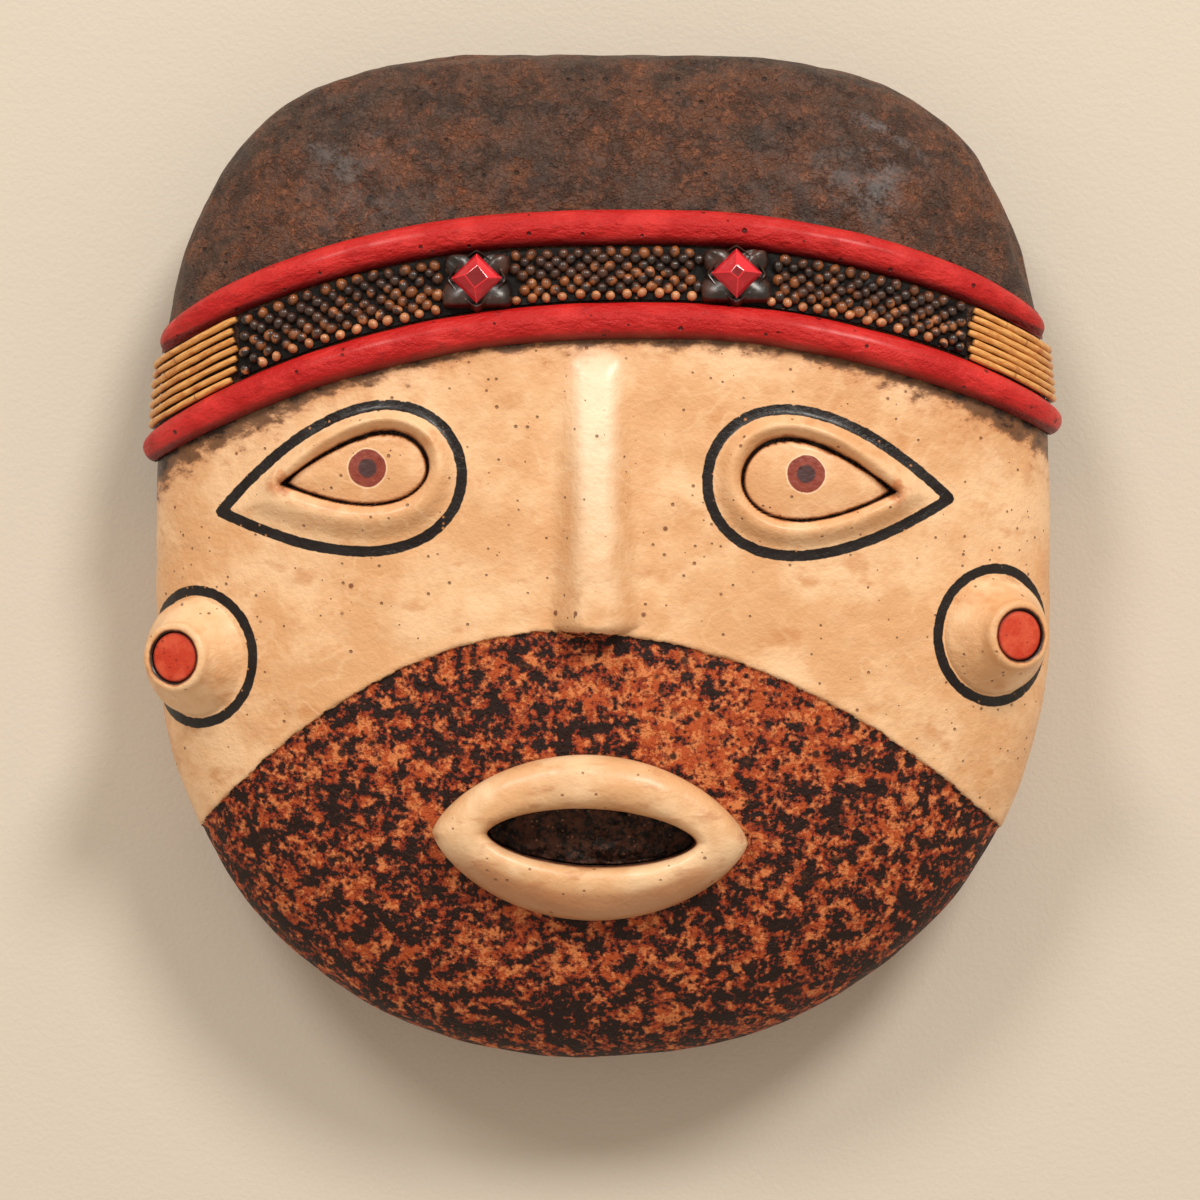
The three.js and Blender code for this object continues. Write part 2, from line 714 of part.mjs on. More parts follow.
const mask = new THREE.Group();
mask.add(piece("mask_body", maskBody(), FACE));
mask.add(piece("mouth_ring", mouthRing(), LIP));
mask.add(piece("mouth_stuffing", mouthStuffing(), STUFFING));
mask.add(piece("upper_red_roll", roll(UPPER_ROLL, 0).subtract(seat), RED_ROLL));
mask.add(piece("lower_red_roll", roll(LOWER_ROLL, 0).subtract(seat), RED_ROLL));
mask.add(piece("seed_strip", seedStrip(), SEED_STRIP));
for (const [side, name] of [
  [-1, "left"],
  [1, "right"],
]) {
  canes(side).forEach((cane, i) => mask.add(piece(`cane_${name}_${i + 1}`, cane, CANE)));
}
STONE_X.forEach((x, i) => {
  const name = ["left", "right"][i];
  mask.add(piece(`stone_mount_${name}`, mount(x), PITCH));
  mask.add(piece(`red_stone_${name}`, stone(x), STONE));
});
for (const place of KNOBS) mask.add(piece(`cheek_disc_${place.name}`, disc(place), ORANGE_DISC));

export default mask;
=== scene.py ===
"""A carved ceremonial mask that lies on its back rim, seen from straight above.

The shell with its cap, nose, ringed eyes and cheek knobs is one carved piece. It carries a mouth ring,
dark stuffing, a forehead band of two red rolls with seeds in pitch between them, split canes at both
temples, two red stones in dark petalled mounts and two orange discs. Sizes are millimetres in the
frame's axes: +X to the viewer's right, +Y towards the cap, +Z out of the face. Meshes are metres.
"""

import logging
import math
from dataclasses import dataclass, field
from enum import Enum
from functools import cache
from typing import Callable, ClassVar, Sequence

import bmesh
import bpy
import numpy as np
from mathutils import Matrix, Vector, noise

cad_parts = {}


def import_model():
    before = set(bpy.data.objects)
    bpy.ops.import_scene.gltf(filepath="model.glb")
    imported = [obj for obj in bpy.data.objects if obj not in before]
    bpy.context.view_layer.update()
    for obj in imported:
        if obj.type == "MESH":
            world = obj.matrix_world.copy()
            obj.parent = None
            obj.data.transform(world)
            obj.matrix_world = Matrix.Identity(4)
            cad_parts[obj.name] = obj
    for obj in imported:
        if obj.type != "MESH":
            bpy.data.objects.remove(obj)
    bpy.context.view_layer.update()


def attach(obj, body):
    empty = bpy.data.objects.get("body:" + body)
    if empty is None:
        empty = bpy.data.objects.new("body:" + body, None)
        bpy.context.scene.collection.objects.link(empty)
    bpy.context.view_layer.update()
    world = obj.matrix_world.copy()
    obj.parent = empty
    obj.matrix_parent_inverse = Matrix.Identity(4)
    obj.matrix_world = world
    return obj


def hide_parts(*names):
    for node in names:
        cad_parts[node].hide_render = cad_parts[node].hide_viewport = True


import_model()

LOG = logging.getLogger("mask")
MM = 0.001
CLEARANCE = 0.3
BODY = "root"

Values = np.ndarray
Socket = bpy.types.NodeSocket
Colour = tuple[float, float, float, float]


def srgb(red: int, green: int, blue: int) -> Colour:
    """Returns a screen colour of 0 to 255 as the linear colour that a shader takes.

    Args:
        red, green, blue: the three parts of the screen colour.

    Returns:
        The linear colour with full opacity.
    """
    parts = (part / 255 for part in (red, green, blue))
    linear = [part / 12.92 if part <= 0.04045 else ((part + 0.055) / 1.055) ** 2.4 for part in parts]
    return (*linear, 1.0)


def smooth(value: Values, low: float, high: float) -> Values:
    """Returns a ramp from 0 at low to 1 at high with soft ends."""
    share = np.clip((value - low) / (high - low), 0, 1)
    return share * share * (3 - 2 * share)


def blend(low: Values, high: Values, share: Values) -> Values:
    """Returns the value part of the way from low to high."""
    return low + (high - low) * share


def ripple(points: Values, size: float, salt: float) -> Values:
    """Returns smooth noise between about -1 and 1 at each point.

    Args:
        points: an array of places, three numbers each.
        size: the width of one swell, in the units of the places.
        salt: a number that sets one noise apart from another.

    Returns:
        One value for each place.
    """
    shift = Vector((salt * 3.71, salt * -5.13, salt * 7.37))
    return np.array([noise.noise(Vector(place) / size + shift) for place in points])


def scatter(number: int, salt: float) -> float:
    """Returns a repeatable scatter between -1 and 1 for a numbered thing."""
    wave = math.sin(number * 12.9898 + salt * 78.233) * 43758.5453
    return 2 * (wave - math.floor(wave)) - 1


def inside(points: Values, outline: Values) -> Values:
    """Tells which points of the plan lie inside a closed outline.

    Args:
        points: places as an n by 2 array.
        outline: the corners of the outline as an m by 2 array.

    Returns:
        One truth value for each place.
    """
    start, end = outline, np.roll(outline, -1, axis=0)
    x, y = points[:, :1], points[:, 1:]
    crosses = (start[:, 1] > y) != (end[:, 1] > y)
    drop = np.where(end[:, 1] == start[:, 1], 1e-9, end[:, 1] - start[:, 1])
    at = start[:, 0] + (end[:, 0] - start[:, 0]) * (y - start[:, 1]) / drop
    return (crosses & (x < at)).sum(axis=1) % 2 == 1


def distance(points: Values, line: Values) -> Values:
    """Measures how far points of the plan are from a closed line.

    Args:
        points: places as an n by 2 array.
        line: the corners of the line as an m by 2 array.

    Returns:
        One distance for each place.
    """
    start = line
    step = np.roll(line, -1, axis=0) - start
    length = np.maximum((step**2).sum(axis=1), 1e-12)
    away = np.full(len(points), np.inf)
    for i in range(0, len(points), 4000):
        gap = points[i : i + 4000, None] - start
        share = np.clip((gap * step).sum(axis=2) / length, 0, 1)
        away[i : i + 4000] = np.sqrt(((gap - share[..., None] * step) ** 2).sum(axis=2).min(axis=1))
    return away


def signed_distance(points: Values, outline: Values, reach: float = 8.0) -> Values:
    """Measures how far points lie outside a closed outline, with what lies inside negative.

    Args:
        points: places as an n by 2 array.
        outline: the corners of the outline as an m by 2 array.
        reach: how far around the outline the measure is needed. Beyond it the reach is returned.

    Returns:
        One distance for each place.
    """
    low, high = outline.min(axis=0) - reach, outline.max(axis=0) + reach
    near = ((points > low) & (points < high)).all(axis=1)
    away = np.full(len(points), reach)
    away[near] = distance(points[near], outline)
    away[near] *= np.where(inside(points[near], outline), -1, 1)
    return away


@dataclass(frozen=True)
class ShellForm:
    """The plain shell that everything sits on: its outline, its section and its skin."""

    half_width: float = 112.6
    cap_reach: float = 142.75
    chin_reach: float = 110.25
    cap_squareness_left: float = 3.6
    cap_squareness_right: float = 3.65
    chin_squareness: float = 2.1
    chin_lean: float = -2.5
    side_height: float = 30.0
    dome_rise: float = 36.0
    dome_squareness: float = 2.5
    rim_tuck: float = 4.0
    rim_rounding: float = 1.5
    wall: float = 9.0

    @property
    def beyond(self) -> float:
        """An x that lies well outside the outline."""
        return self.half_width * 1.2

    @property
    def widest_y(self) -> float:
        """Where the outline is widest, so that the whole height is centred."""
        return (self.chin_reach - self.cap_reach) / 2

    def reach(self, angle: Values) -> Values:
        """Returns the distance from the widest line's middle to the outline at each angle."""
        rightness = (1 + np.cos(angle)) / 2
        cap_power = blend(self.cap_squareness_left, self.cap_squareness_right, rightness)
        up = np.sin(angle) > 0
        power = np.where(up, cap_power, self.chin_squareness)
        across = np.abs(np.cos(angle)) / self.half_width
        along = np.abs(np.sin(angle)) / np.where(up, self.cap_reach, self.chin_reach)
        return (across**power + along**power) ** (-1 / power)

    def lean(self, y: Values) -> Values:
        """Returns how far the chin leans sideways at each height of the plan."""
        return self.chin_lean * (np.minimum(0, y - self.widest_y) / self.chin_reach) ** 2

    def skin(self, angle: Values, station: Values) -> Values:
        """Returns points of the plain shell.

        Args:
            angle: the direction from the middle of the widest line, in radians.
            station: 0 at the crown of the dome, 1 at the top of the side, 2 at the rim.

        Returns:
            The places, three numbers each.
        """
        rise = (1 - np.minimum(station, 1)) * math.pi / 2
        share = np.maximum(0, np.cos(rise)) ** (2 / self.dome_squareness)
        down = np.maximum(0, station - 1)
        reach = self.reach(angle) * share - self.rim_tuck * down**2
        y = self.widest_y + reach * np.sin(angle)
        x = reach * np.cos(angle) + self.lean(y)
        dome = self.side_height + self.dome_rise * np.sin(rise)
        z = np.where(down > 0, self.side_height * (1 - down), dome)
        return np.stack([x, y, z], axis=-1)

    def normal(self, angle: Values, station: Values) -> Values:
        """Returns the outward direction of the plain shell at each spot."""
        nudge = 1e-3
        along = self.skin(angle, station + nudge) - self.skin(angle, np.maximum(0, station - nudge))
        around = self.skin(angle + nudge, station) - self.skin(angle - nudge, station)
        across = np.cross(along, around)
        length = np.linalg.norm(across, axis=-1, keepdims=True)
        crown = (station < nudge)[..., None]
        return np.where(crown, [0.0, 0.0, 1.0], across / np.maximum(length, 1e-12))

    def spot(self, x: Values, y: Values) -> tuple[Values, Values]:
        """Returns the angle and station of the dome over points of the plan."""
        across = x - self.lean(y)
        angle = np.arctan2(y - self.widest_y, across)
        share = np.minimum(1, np.hypot(across, y - self.widest_y) / self.reach(angle))
        rise = np.arccos(share ** (self.dome_squareness / 2))
        return angle, 1 - rise / (math.pi / 2)

    def height(self, x: Values, y: Values) -> Values:
        """Returns the height of the dome over points of the plan."""
        return self.skin(*self.spot(x, y))[..., 2]

    def below_crown(self, z: Values) -> Values:
        """Returns how far points lie below the crown of the dome."""
        return self.side_height + self.dome_rise - z

    def over(self, x: Values, y: Values, out: Values) -> Values:
        """Returns points over the plan, raised square to the skin."""
        spot = self.spot(x, y)
        return self.skin(*spot) + self.normal(*spot) * np.asarray(out)[..., None]

    def evenly(self, share: Values) -> Values:
        """Returns the stations that part the dome's section into even lengths from its crown."""
        stations = np.linspace(0, 1, 600) ** 1.6
        line = self.skin(np.zeros(600), stations)
        steps = np.linalg.norm(np.diff(line, axis=0), axis=1)
        travelled = np.concatenate([[0], np.cumsum(steps)])
        return np.interp(share, travelled / travelled[-1], stations)


@dataclass(frozen=True)
class Arc:
    """A line over the forehead that drops towards both temples."""

    crest: float
    drop: float
    tilt: float
    half: float
    power: float

    def y(self, x: Values) -> Values:
        """Returns the height of the line in the plan at each x."""
        return self.crest - self.drop * np.abs(x / self.half) ** self.power + self.tilt * x / self.half


@dataclass(frozen=True)
class Teardrop:
    """A closed curve with one pointed end."""

    x: float
    y: float
    half_length: float
    half_height: float
    towards: float

    def points(self, count: int = 240) -> Values:
        """Returns the curve as points of the plan, from its pointed end round."""
        turn = np.linspace(0, 2 * math.pi, count, endpoint=False)
        along = self.half_length * np.cos(turn)
        across = self.half_height / 0.7698 * np.sin(turn) * np.sin(turn / 2)
        lean = math.radians(self.towards)
        x = self.x + along * math.cos(lean) - across * math.sin(lean)
        y = self.y + along * math.sin(lean) + across * math.cos(lean)
        return np.stack([x, y], axis=1)


@dataclass(frozen=True)
class Lens:
    """A closed curve with a soft point at each end."""

    x: float
    y: float
    half_length: float
    half_height: float
    tilt: float
    point: float

    def at(self, turn: Values, growth: Values = 0.0) -> Values:
        """Returns points of the curve, grown outwards, for turns in radians."""
        along = (self.half_length + growth) * np.cos(turn)
        bulge = np.sign(np.sin(turn)) * np.abs(np.sin(turn)) ** self.point
        across = (self.half_height + growth) * bulge
        lean = math.radians(self.tilt)
        x = self.x + along * math.cos(lean) - across * math.sin(lean)
        y = self.y + along * math.sin(lean) + across * math.cos(lean)
        return np.stack([x, y], axis=-1)


@dataclass(frozen=True)
class Path:
    """A line over the skin with its outward directions."""

    at: Values
    normal: Values

    @property
    def travelled(self) -> Values:
        """The length walked from the start to each point."""
        steps = np.linalg.norm(np.diff(self.at, axis=0), axis=1)
        return np.concatenate([[0], np.cumsum(steps)])

    @property
    def length(self) -> float:
        """The whole length of the line."""
        return float(self.travelled[-1])

    def place(self, along: Values, across: Values, out: Values) -> Values:
        """Returns points beside the line.

        Args:
            along: lengths from the start of the line.
            across: how far each point lies to the line's side.
            out: how far each point stands over the skin.

        Returns:
            The places, three numbers each.
        """
        walked = self.travelled
        forward = np.gradient(self.at, walked, axis=0)
        axes = [
            np.stack([np.interp(along, walked, part[:, i]) for i in range(3)], axis=1)
            for part in (self.at, self.normal, forward)
        ]
        at, normal, ahead = axes
        beyond = along - np.clip(along, 0, walked[-1])
        normal /= np.linalg.norm(normal, axis=1, keepdims=True)
        ahead /= np.linalg.norm(ahead, axis=1, keepdims=True)
        aside = np.cross(ahead, normal)
        aside /= np.linalg.norm(aside, axis=1, keepdims=True)
        return at + ahead * beyond[:, None] + aside * across[:, None] + normal * out[:, None]


@dataclass(frozen=True)
class BandForm:
    """The lines of the forehead band, between its upper roll at mix 0 and its lower one at 1."""

    shell: ShellForm
    upper: Arc = Arc(crest=79.6, drop=23.0, tilt=1.6, half=107.0, power=2.4)
    lower: Arc = Arc(crest=56.7, drop=26.4, tilt=3.3, half=112.0, power=2.15)
    roll_radius: float = 4.5

    def y(self, mix: Values, x: Values) -> Values:
        """Returns the height of one line of the band in the plan."""
        return blend(self.upper.y(x), self.lower.y(x), mix)

    def height(self, x: float) -> float:
        """Returns the distance between the middles of the rolls, square to the band."""
        slope = (self.y(0.5, x + 0.001) - self.y(0.5, x - 0.001)) / 0.002
        return float((self.y(0, x) - self.y(1, x)) / math.hypot(1, slope))

    def edge(self, mix: float, side: int) -> float:
        """Returns the x at which one line of the band leaves the dome."""
        near, far = 0.0, self.shell.beyond
        for _ in range(40):
            x = side * (near + far) / 2
            y = self.y(mix, x)
            across = x - self.shell.lean(y)
            angle = np.arctan2(y - self.shell.widest_y, across)
            within = np.hypot(across, y - self.shell.widest_y) < self.shell.reach(angle)
            near, far = (abs(x), far) if within else (near, abs(x))
        return side * (near + far) / 2

    def path(self, mix: float, ends: tuple[float, float], wrap: float, steps: int) -> Path:
        """Returns a line of the band over the forehead, which may wrap over the sides.

        Args:
            mix: which line of the band.
            ends: the x at each end. An end beyond the dome's edge wraps over the side.
            wrap: how far down the side an end goes.
            steps: how many parts the line over the forehead has.

        Returns:
            The line with its outward directions.
        """
        edges = {side: self.edge(mix, side) for side in (-1, 1)}
        swings = [math.asin(max(-1.0, min(1.0, x / abs(edges[-1 if x < 0 else 1])))) for x in ends]
        swing = np.linspace(*swings, steps + 1)
        x = np.where(swing < 0, edges[-1], edges[1]) * np.abs(np.sin(swing))
        angle, station = self.shell.spot(x, self.y(mix, x))
        down = np.arange(1, 13) / 12 * wrap / self.shell.side_height
        if wrap and swings[0] <= -math.pi / 2:
            angle = np.concatenate([np.full(12, angle[0]), angle])
            station = np.concatenate([1 + down[::-1], station])
        if wrap and swings[1] >= math.pi / 2:
            angle = np.concatenate([angle, np.full(12, angle[-1])])
            station = np.concatenate([station, 1 + down])
        return Path(self.shell.skin(angle, station), self.shell.normal(angle, station))


SHELL = ShellForm()
BAND = BandForm(SHELL)
STONES_X = (-30.6, 32.3)
STRIP_THICKNESS = 1.2
MOUTH_HOLE = Lens(x=-2.9, y=-69.1, half_length=25.3, half_height=7.1, tilt=-2.5, point=1.25)
MOUTH_RIM = Lens(x=-3.2, y=-69.2, half_length=38.5, half_height=20.4, tilt=-2.2, point=1.4)


def corners(bm: bmesh.types.BMesh) -> Values:
    """Returns the corners of a mesh under construction as an n by 3 array."""
    return np.array([vert.co[:] for vert in bm.verts])


def move_corners(bm: bmesh.types.BMesh, places: Values) -> None:
    """Puts each corner of a mesh under construction in its new place."""
    for vert, place in zip(bm.verts, places):
        vert.co = place


def polar(places: Values) -> tuple[Values, Values]:
    """Returns the turn of places round +Z and their distance from it."""
    return np.arctan2(places[:, 1], places[:, 0]), np.hypot(places[:, 0], places[:, 1])


def on_disc(spots: Values) -> tuple[Values, Values]:
    """Reads spots of a square sheet from -1 to 1 as the turn and the radius of a round one."""
    u, v = spots[:, 0], spots[:, 1]
    x, y = u * np.sqrt(1 - v * v / 2), v * np.sqrt(1 - u * u / 2)
    return np.arctan2(y, x), np.minimum(1, np.hypot(x, y))


def with_height(plan: Values, z: Values = 0.0) -> Values:
    """Returns points of the plan as places at a height."""
    return np.column_stack([plan, np.broadcast_to(z, len(plan))])


def made(name: str, bm: bmesh.types.BMesh, finishes: Sequence[bpy.types.Material]) -> bpy.types.Object:
    """Turns a finished mesh in millimetres into an object in metres at the origin.

    Args:
        name: the piece's name.
        bm: the mesh under construction, which is used up.
        finishes: the materials of its slots.

    Returns:
        The new object.
    """
    bmesh.ops.scale(bm, vec=(MM, MM, MM), verts=bm.verts)
    mesh = bpy.data.meshes.new(name)
    bm.to_mesh(mesh)
    bm.free()
    for finish in finishes:
        mesh.materials.append(finish)
    piece = bpy.data.objects.new(name, mesh)
    bpy.context.scene.collection.objects.link(piece)
    mesh.polygons.foreach_set("use_smooth", [True] * len(mesh.polygons))
    return piece


def rim_of(bm: bmesh.types.BMesh) -> list[bmesh.types.BMEdge]:
    """Returns the open edges of a mesh."""
    return [edge for edge in bm.edges if edge.is_boundary]


def grow_loop(bm: bmesh.types.BMesh, loop: list[bmesh.types.BMEdge], z: float) -> list[bmesh.types.BMEdge]:
    """Grows a loop of edges straight to a height and returns the new loop."""
    grown = bmesh.ops.extrude_edge_only(bm, edges=loop)["geom"]
    for part in grown:
        if isinstance(part, bmesh.types.BMVert):
            part.co.z = z
    return [part for part in grown if isinstance(part, bmesh.types.BMEdge) and part.is_boundary]


def outwards(bm: bmesh.types.BMesh, merge: float = 1e-4) -> None:
    """Merges corners that are closer than a distance, if it isn't 0, and turns every face outwards."""
    if merge:
        bmesh.ops.remove_doubles(bm, verts=bm.verts, dist=merge)
    bmesh.ops.recalc_face_normals(bm, faces=bm.faces)


def keep_edges(piece: bpy.types.Object, degrees: float) -> None:
    """Keeps the edges of a piece crisp where its faces meet at more than an angle."""
    piece.data.set_sharp_from_angle(angle=math.radians(degrees))


def places_of(piece: bpy.types.Object) -> Values:
    """Returns the corners of a piece in millimetres."""
    flat = np.empty(len(piece.data.vertices) * 3)
    piece.data.vertices.foreach_get("co", flat)
    return flat.reshape(-1, 3) / MM


def seen_from(matrix: Matrix, places: Values) -> Values:
    """Returns places in the axes of a matrix."""
    back = np.array(matrix.inverted())
    return places @ back[:3, :3].T + back[:3, 3]


def record(piece: bpy.types.Object, name: str, values: Values) -> None:
    """Writes one number for each corner of a piece as a named attribute."""
    layer = piece.data.attributes.new(name, "FLOAT", "POINT")
    layer.data.foreach_set("value", np.asarray(values, dtype=np.float32))


def record_places(piece: bpy.types.Object, name: str, places: Values) -> None:
    """Writes three numbers for each corner of a piece as a named attribute."""
    layer = piece.data.attributes.new(name, "FLOAT_VECTOR", "POINT")
    layer.data.foreach_set("vector", np.asarray(places, dtype=np.float32).ravel())


class Joining(Enum):
    """How a second solid changes a first one."""

    ADD = "UNION"
    CUT = "DIFFERENCE"


def combine(piece: bpy.types.Object, other: bpy.types.Object, how: Joining) -> None:
    """Adds a solid to a piece or cuts it away, and removes the second solid.

    Args:
        piece: the piece that keeps its name and changes its mesh.
        other: the solid that is used up.
        how: whether the solid is added or cut away.
    """
    change = piece.modifiers.new("combine", "BOOLEAN")
    change.operation = how.value
    change.solver = "MANIFOLD"
    change.object = other
    graph = bpy.context.evaluated_depsgraph_get()
    result = bpy.data.meshes.new_from_object(piece.evaluated_get(graph))
    piece.modifiers.remove(change)
    old, piece.data = piece.data, result
    result.name = piece.name
    bpy.data.meshes.remove(old)
    bpy.data.objects.remove(other)


@dataclass
class Board:
    """A node tree under construction, with short calls for the nodes that the finishes use."""

    tree: bpy.types.NodeTree

    def node(self, kind: str, **settings: object) -> bpy.types.Node:
        """Adds a node and gives it its settings."""
        node = self.tree.nodes.new(kind)
        node.location = (len(self.tree.nodes) % 12 * 180, -(len(self.tree.nodes) // 12) * 240)
        for name, value in settings.items():
            setattr(node, name, value)
        return node

    def feed(self, socket: Socket, value: object) -> None:
        """Gives a socket a link where the value is a socket, and a plain value otherwise."""
        if isinstance(value, bpy.types.NodeSocket):
            self.tree.links.new(value, socket)
        elif value is not None:
            socket.default_value = value

    def math(self, operation: str, first: object, second: object = None) -> Socket:
        """Adds a math node and returns its value."""
        node = self.node("ShaderNodeMath", operation=operation)
        for socket, value in zip(node.inputs, (first, second)):
            self.feed(socket, value)
        return node.outputs[0]

    def plus(self, first: object, second: object) -> Socket:
        """Adds two numbers."""
        return self.math("ADD", first, second)

    def minus(self, first: object, second: object) -> Socket:
        """Takes the second number from the first."""
        return self.math("SUBTRACT", first, second)

    def times(self, first: object, second: object) -> Socket:
        """Multiplies two numbers."""
        return self.math("MULTIPLY", first, second)

    def ramp(self, value: object, low: object, high: object, start: float = 0.0, end: float = 1.0) -> Socket:
        """Adds a soft ramp from start at low to end at high and returns its value."""
        node = self.node("ShaderNodeMapRange", interpolation_type="SMOOTHSTEP")
        for socket, part in zip(node.inputs, (value, low, high, start, end)):
            self.feed(socket, part)
        return node.outputs[0]

    def mix(self, share: object, first: object, second: object, how: str = "MIX") -> Socket:
        """Adds a colour mix and returns its colour."""
        node = self.node("ShaderNodeMix", data_type="RGBA", blend_type=how)
        self.feed(node.inputs[0], share)
        self.feed(node.inputs[6], first)
        self.feed(node.inputs[7], second)
        return node.outputs[2]

    def over(self, ground: object, colour: object, mask: Socket, share: float) -> Socket:
        """Lays a colour over the ground where a mask is, as strongly as its share."""
        return self.mix(self.times(mask, share), ground, colour)

    def fade(
        self, ground: object, colour: object, value: Socket, low: float, high: float, share: float = 1.0,
    ) -> Socket:
        """Lays a colour over the ground, from none at low to its share at high."""
        return self.mix(self.ramp(value, low, high, 0.0, share), ground, colour)

    def noise(self, place: Socket, scale: object, detail: float = 2.0, rough: float = 0.5) -> Socket:
        """Adds a noise texture and returns its value."""
        node = self.node("ShaderNodeTexNoise")
        self.feed(node.inputs["Vector"], place)
        self.feed(node.inputs["Scale"], scale)
        node.inputs["Detail"].default_value = detail
        node.inputs["Roughness"].default_value = rough
        return node.outputs["Fac"]

    def stretch(self, place: Socket, scale: tuple[float, float, float]) -> Socket:
        """Adds a mapping that stretches places and returns them."""
        node = self.node("ShaderNodeMapping")
        self.feed(node.inputs["Vector"], place)
        node.inputs["Scale"].default_value = scale
        return node.outputs["Vector"]

    def attribute(self, name: str) -> Socket:
        """Adds a named attribute of the piece and returns its number."""
        return self.node("ShaderNodeAttribute", attribute_name=name).outputs["Fac"]

    def attribute_place(self, name: str) -> Socket:
        """Adds a named attribute of the piece and returns its three numbers."""
        return self.node("ShaderNodeAttribute", attribute_name=name).outputs["Vector"]

    def frayed(
        self, name: str, place: Socket, depth: float, scale: float, detail: float, rough: float = 0.5,
    ) -> Socket:
        """Returns a named attribute with noise around 0 added, so that its borders look ragged."""
        ragged = self.minus(self.noise(place, scale, detail, rough), 0.5)
        return self.plus(self.attribute(name), self.times(ragged, depth))

    def group(self, tree: bpy.types.NodeTree, **inputs: object) -> Socket:
        """Places a node group, feeds its inputs by name and returns its first output."""
        node = self.node("ShaderNodeGroup", node_tree=tree)
        for name, value in inputs.items():
            self.feed(node.inputs[name.capitalize()], value)
        return node.outputs[0]

    def specks(self, place: Socket, scale: float, size: float, chance: float) -> Socket:
        """Adds small round spots and returns where they are."""
        return self.group(specks_group(), vector=place, scale=scale, size=size, chance=chance)

    def mottle(self, place: Socket, scale: float, cover: object, edge: float) -> Socket:
        """Adds ragged patches and returns where they are."""
        return self.group(mottle_group(), vector=place, scale=scale, cover=cover, edge=edge)

    def curls(self, place: Socket, scale: float, width: float, cover: float) -> Socket:
        """Adds thin curling lines and returns where they are."""
        return self.group(curls_group(), vector=place, scale=scale, width=width, cover=cover)

    def grain(self, place: Socket, scale: float, fine: float) -> Socket:
        """Adds a hand-worked unevenness and returns its height."""
        return self.group(grain_group(), vector=place, scale=scale, fine=fine)


def group_board(name: str, *numbers: str) -> tuple[Board, list[Socket], Socket]:
    """Makes an empty node group with a place, number inputs and one mask as its output.

    Args:
        name: the group's name.
        numbers: the names of its number inputs.

    Returns:
        The group's board, its inputs from the place on and the socket that takes its mask.
    """
    tree = bpy.data.node_groups.new(name, "ShaderNodeTree")
    tree.interface.new_socket("Vector", in_out="INPUT", socket_type="NodeSocketVector")
    for title in numbers:
        tree.interface.new_socket(title, in_out="INPUT", socket_type="NodeSocketFloat")
    tree.interface.new_socket("Mask", in_out="OUTPUT", socket_type="NodeSocketFloat")
    board = Board(tree)
    source = board.node("NodeGroupInput")
    sink = board.node("NodeGroupOutput")
    return board, list(source.outputs)[: len(numbers) + 1], sink.inputs[0]


@cache
def specks_group() -> bpy.types.NodeTree:
    """Small round spots, each cell of the surface having one or none."""
    board, (place, scale, width, chance), out = group_board("specks", "Scale", "Size", "Chance")
    cells = board.node("ShaderNodeTexVoronoi", feature="F1")
    board.feed(cells.inputs["Vector"], place)
    board.feed(cells.inputs["Scale"], scale)
    parts = board.node("ShaderNodeSeparateColor")
    board.feed(parts.inputs[0], cells.outputs["Color"])
    size = board.times(width, board.plus(parts.outputs[1], 0.35))
    spot = board.ramp(cells.outputs["Distance"], size, board.times(size, 0.45))
    chosen = board.math("LESS_THAN", parts.outputs[0], chance)
    board.feed(out, board.times(spot, chosen))
    return board.tree


@cache
def mottle_group() -> bpy.types.NodeTree:
    """Ragged patches that cover a share of the surface."""
    board, (place, scale, cover, edge), out = group_board("mottle", "Scale", "Cover", "Edge")
    broad = board.noise(place, scale, 4, 0.62)
    fine = board.noise(place, board.times(scale, 3.3), 2, 0.5)
    both = board.plus(board.times(broad, 0.68), board.times(fine, 0.32))
    level = board.minus(0.62, board.times(cover, 0.24))
    board.feed(out, board.ramp(both, board.minus(level, edge), board.plus(level, edge)))
    return board.tree


@cache
def curls_group() -> bpy.types.NodeTree:
    """Thin curling lines, such as fine scratches and crackle."""
    board, (place, scale, width, cover), out = group_board("curls", "Scale", "Width", "Cover")
    line = board.math("ABSOLUTE", board.minus(board.noise(place, scale, 1.5, 0.5), 0.5))
    thin = board.ramp(line, width, 0)
    broken = board.noise(place, board.times(scale, 0.6), 2, 0.5)
    keep = board.ramp(broken, board.minus(0.75, board.times(cover, 0.5)), 0.75)
    board.feed(out, board.times(thin, keep))
    return board.tree


@cache
def grain_group() -> bpy.types.NodeTree:
    """A hand-worked unevenness at two sizes, for height and for gloss."""
    board, (place, scale, share), out = group_board("grain", "Scale", "Fine")
    broad = board.noise(place, scale, 2, 0.5)
    fine = board.noise(place, board.times(scale, 5.7), 3, 0.6)
    low = board.times(broad, board.minus(1, share))
    board.feed(out, board.plus(low, board.times(fine, share)))
    return board.tree


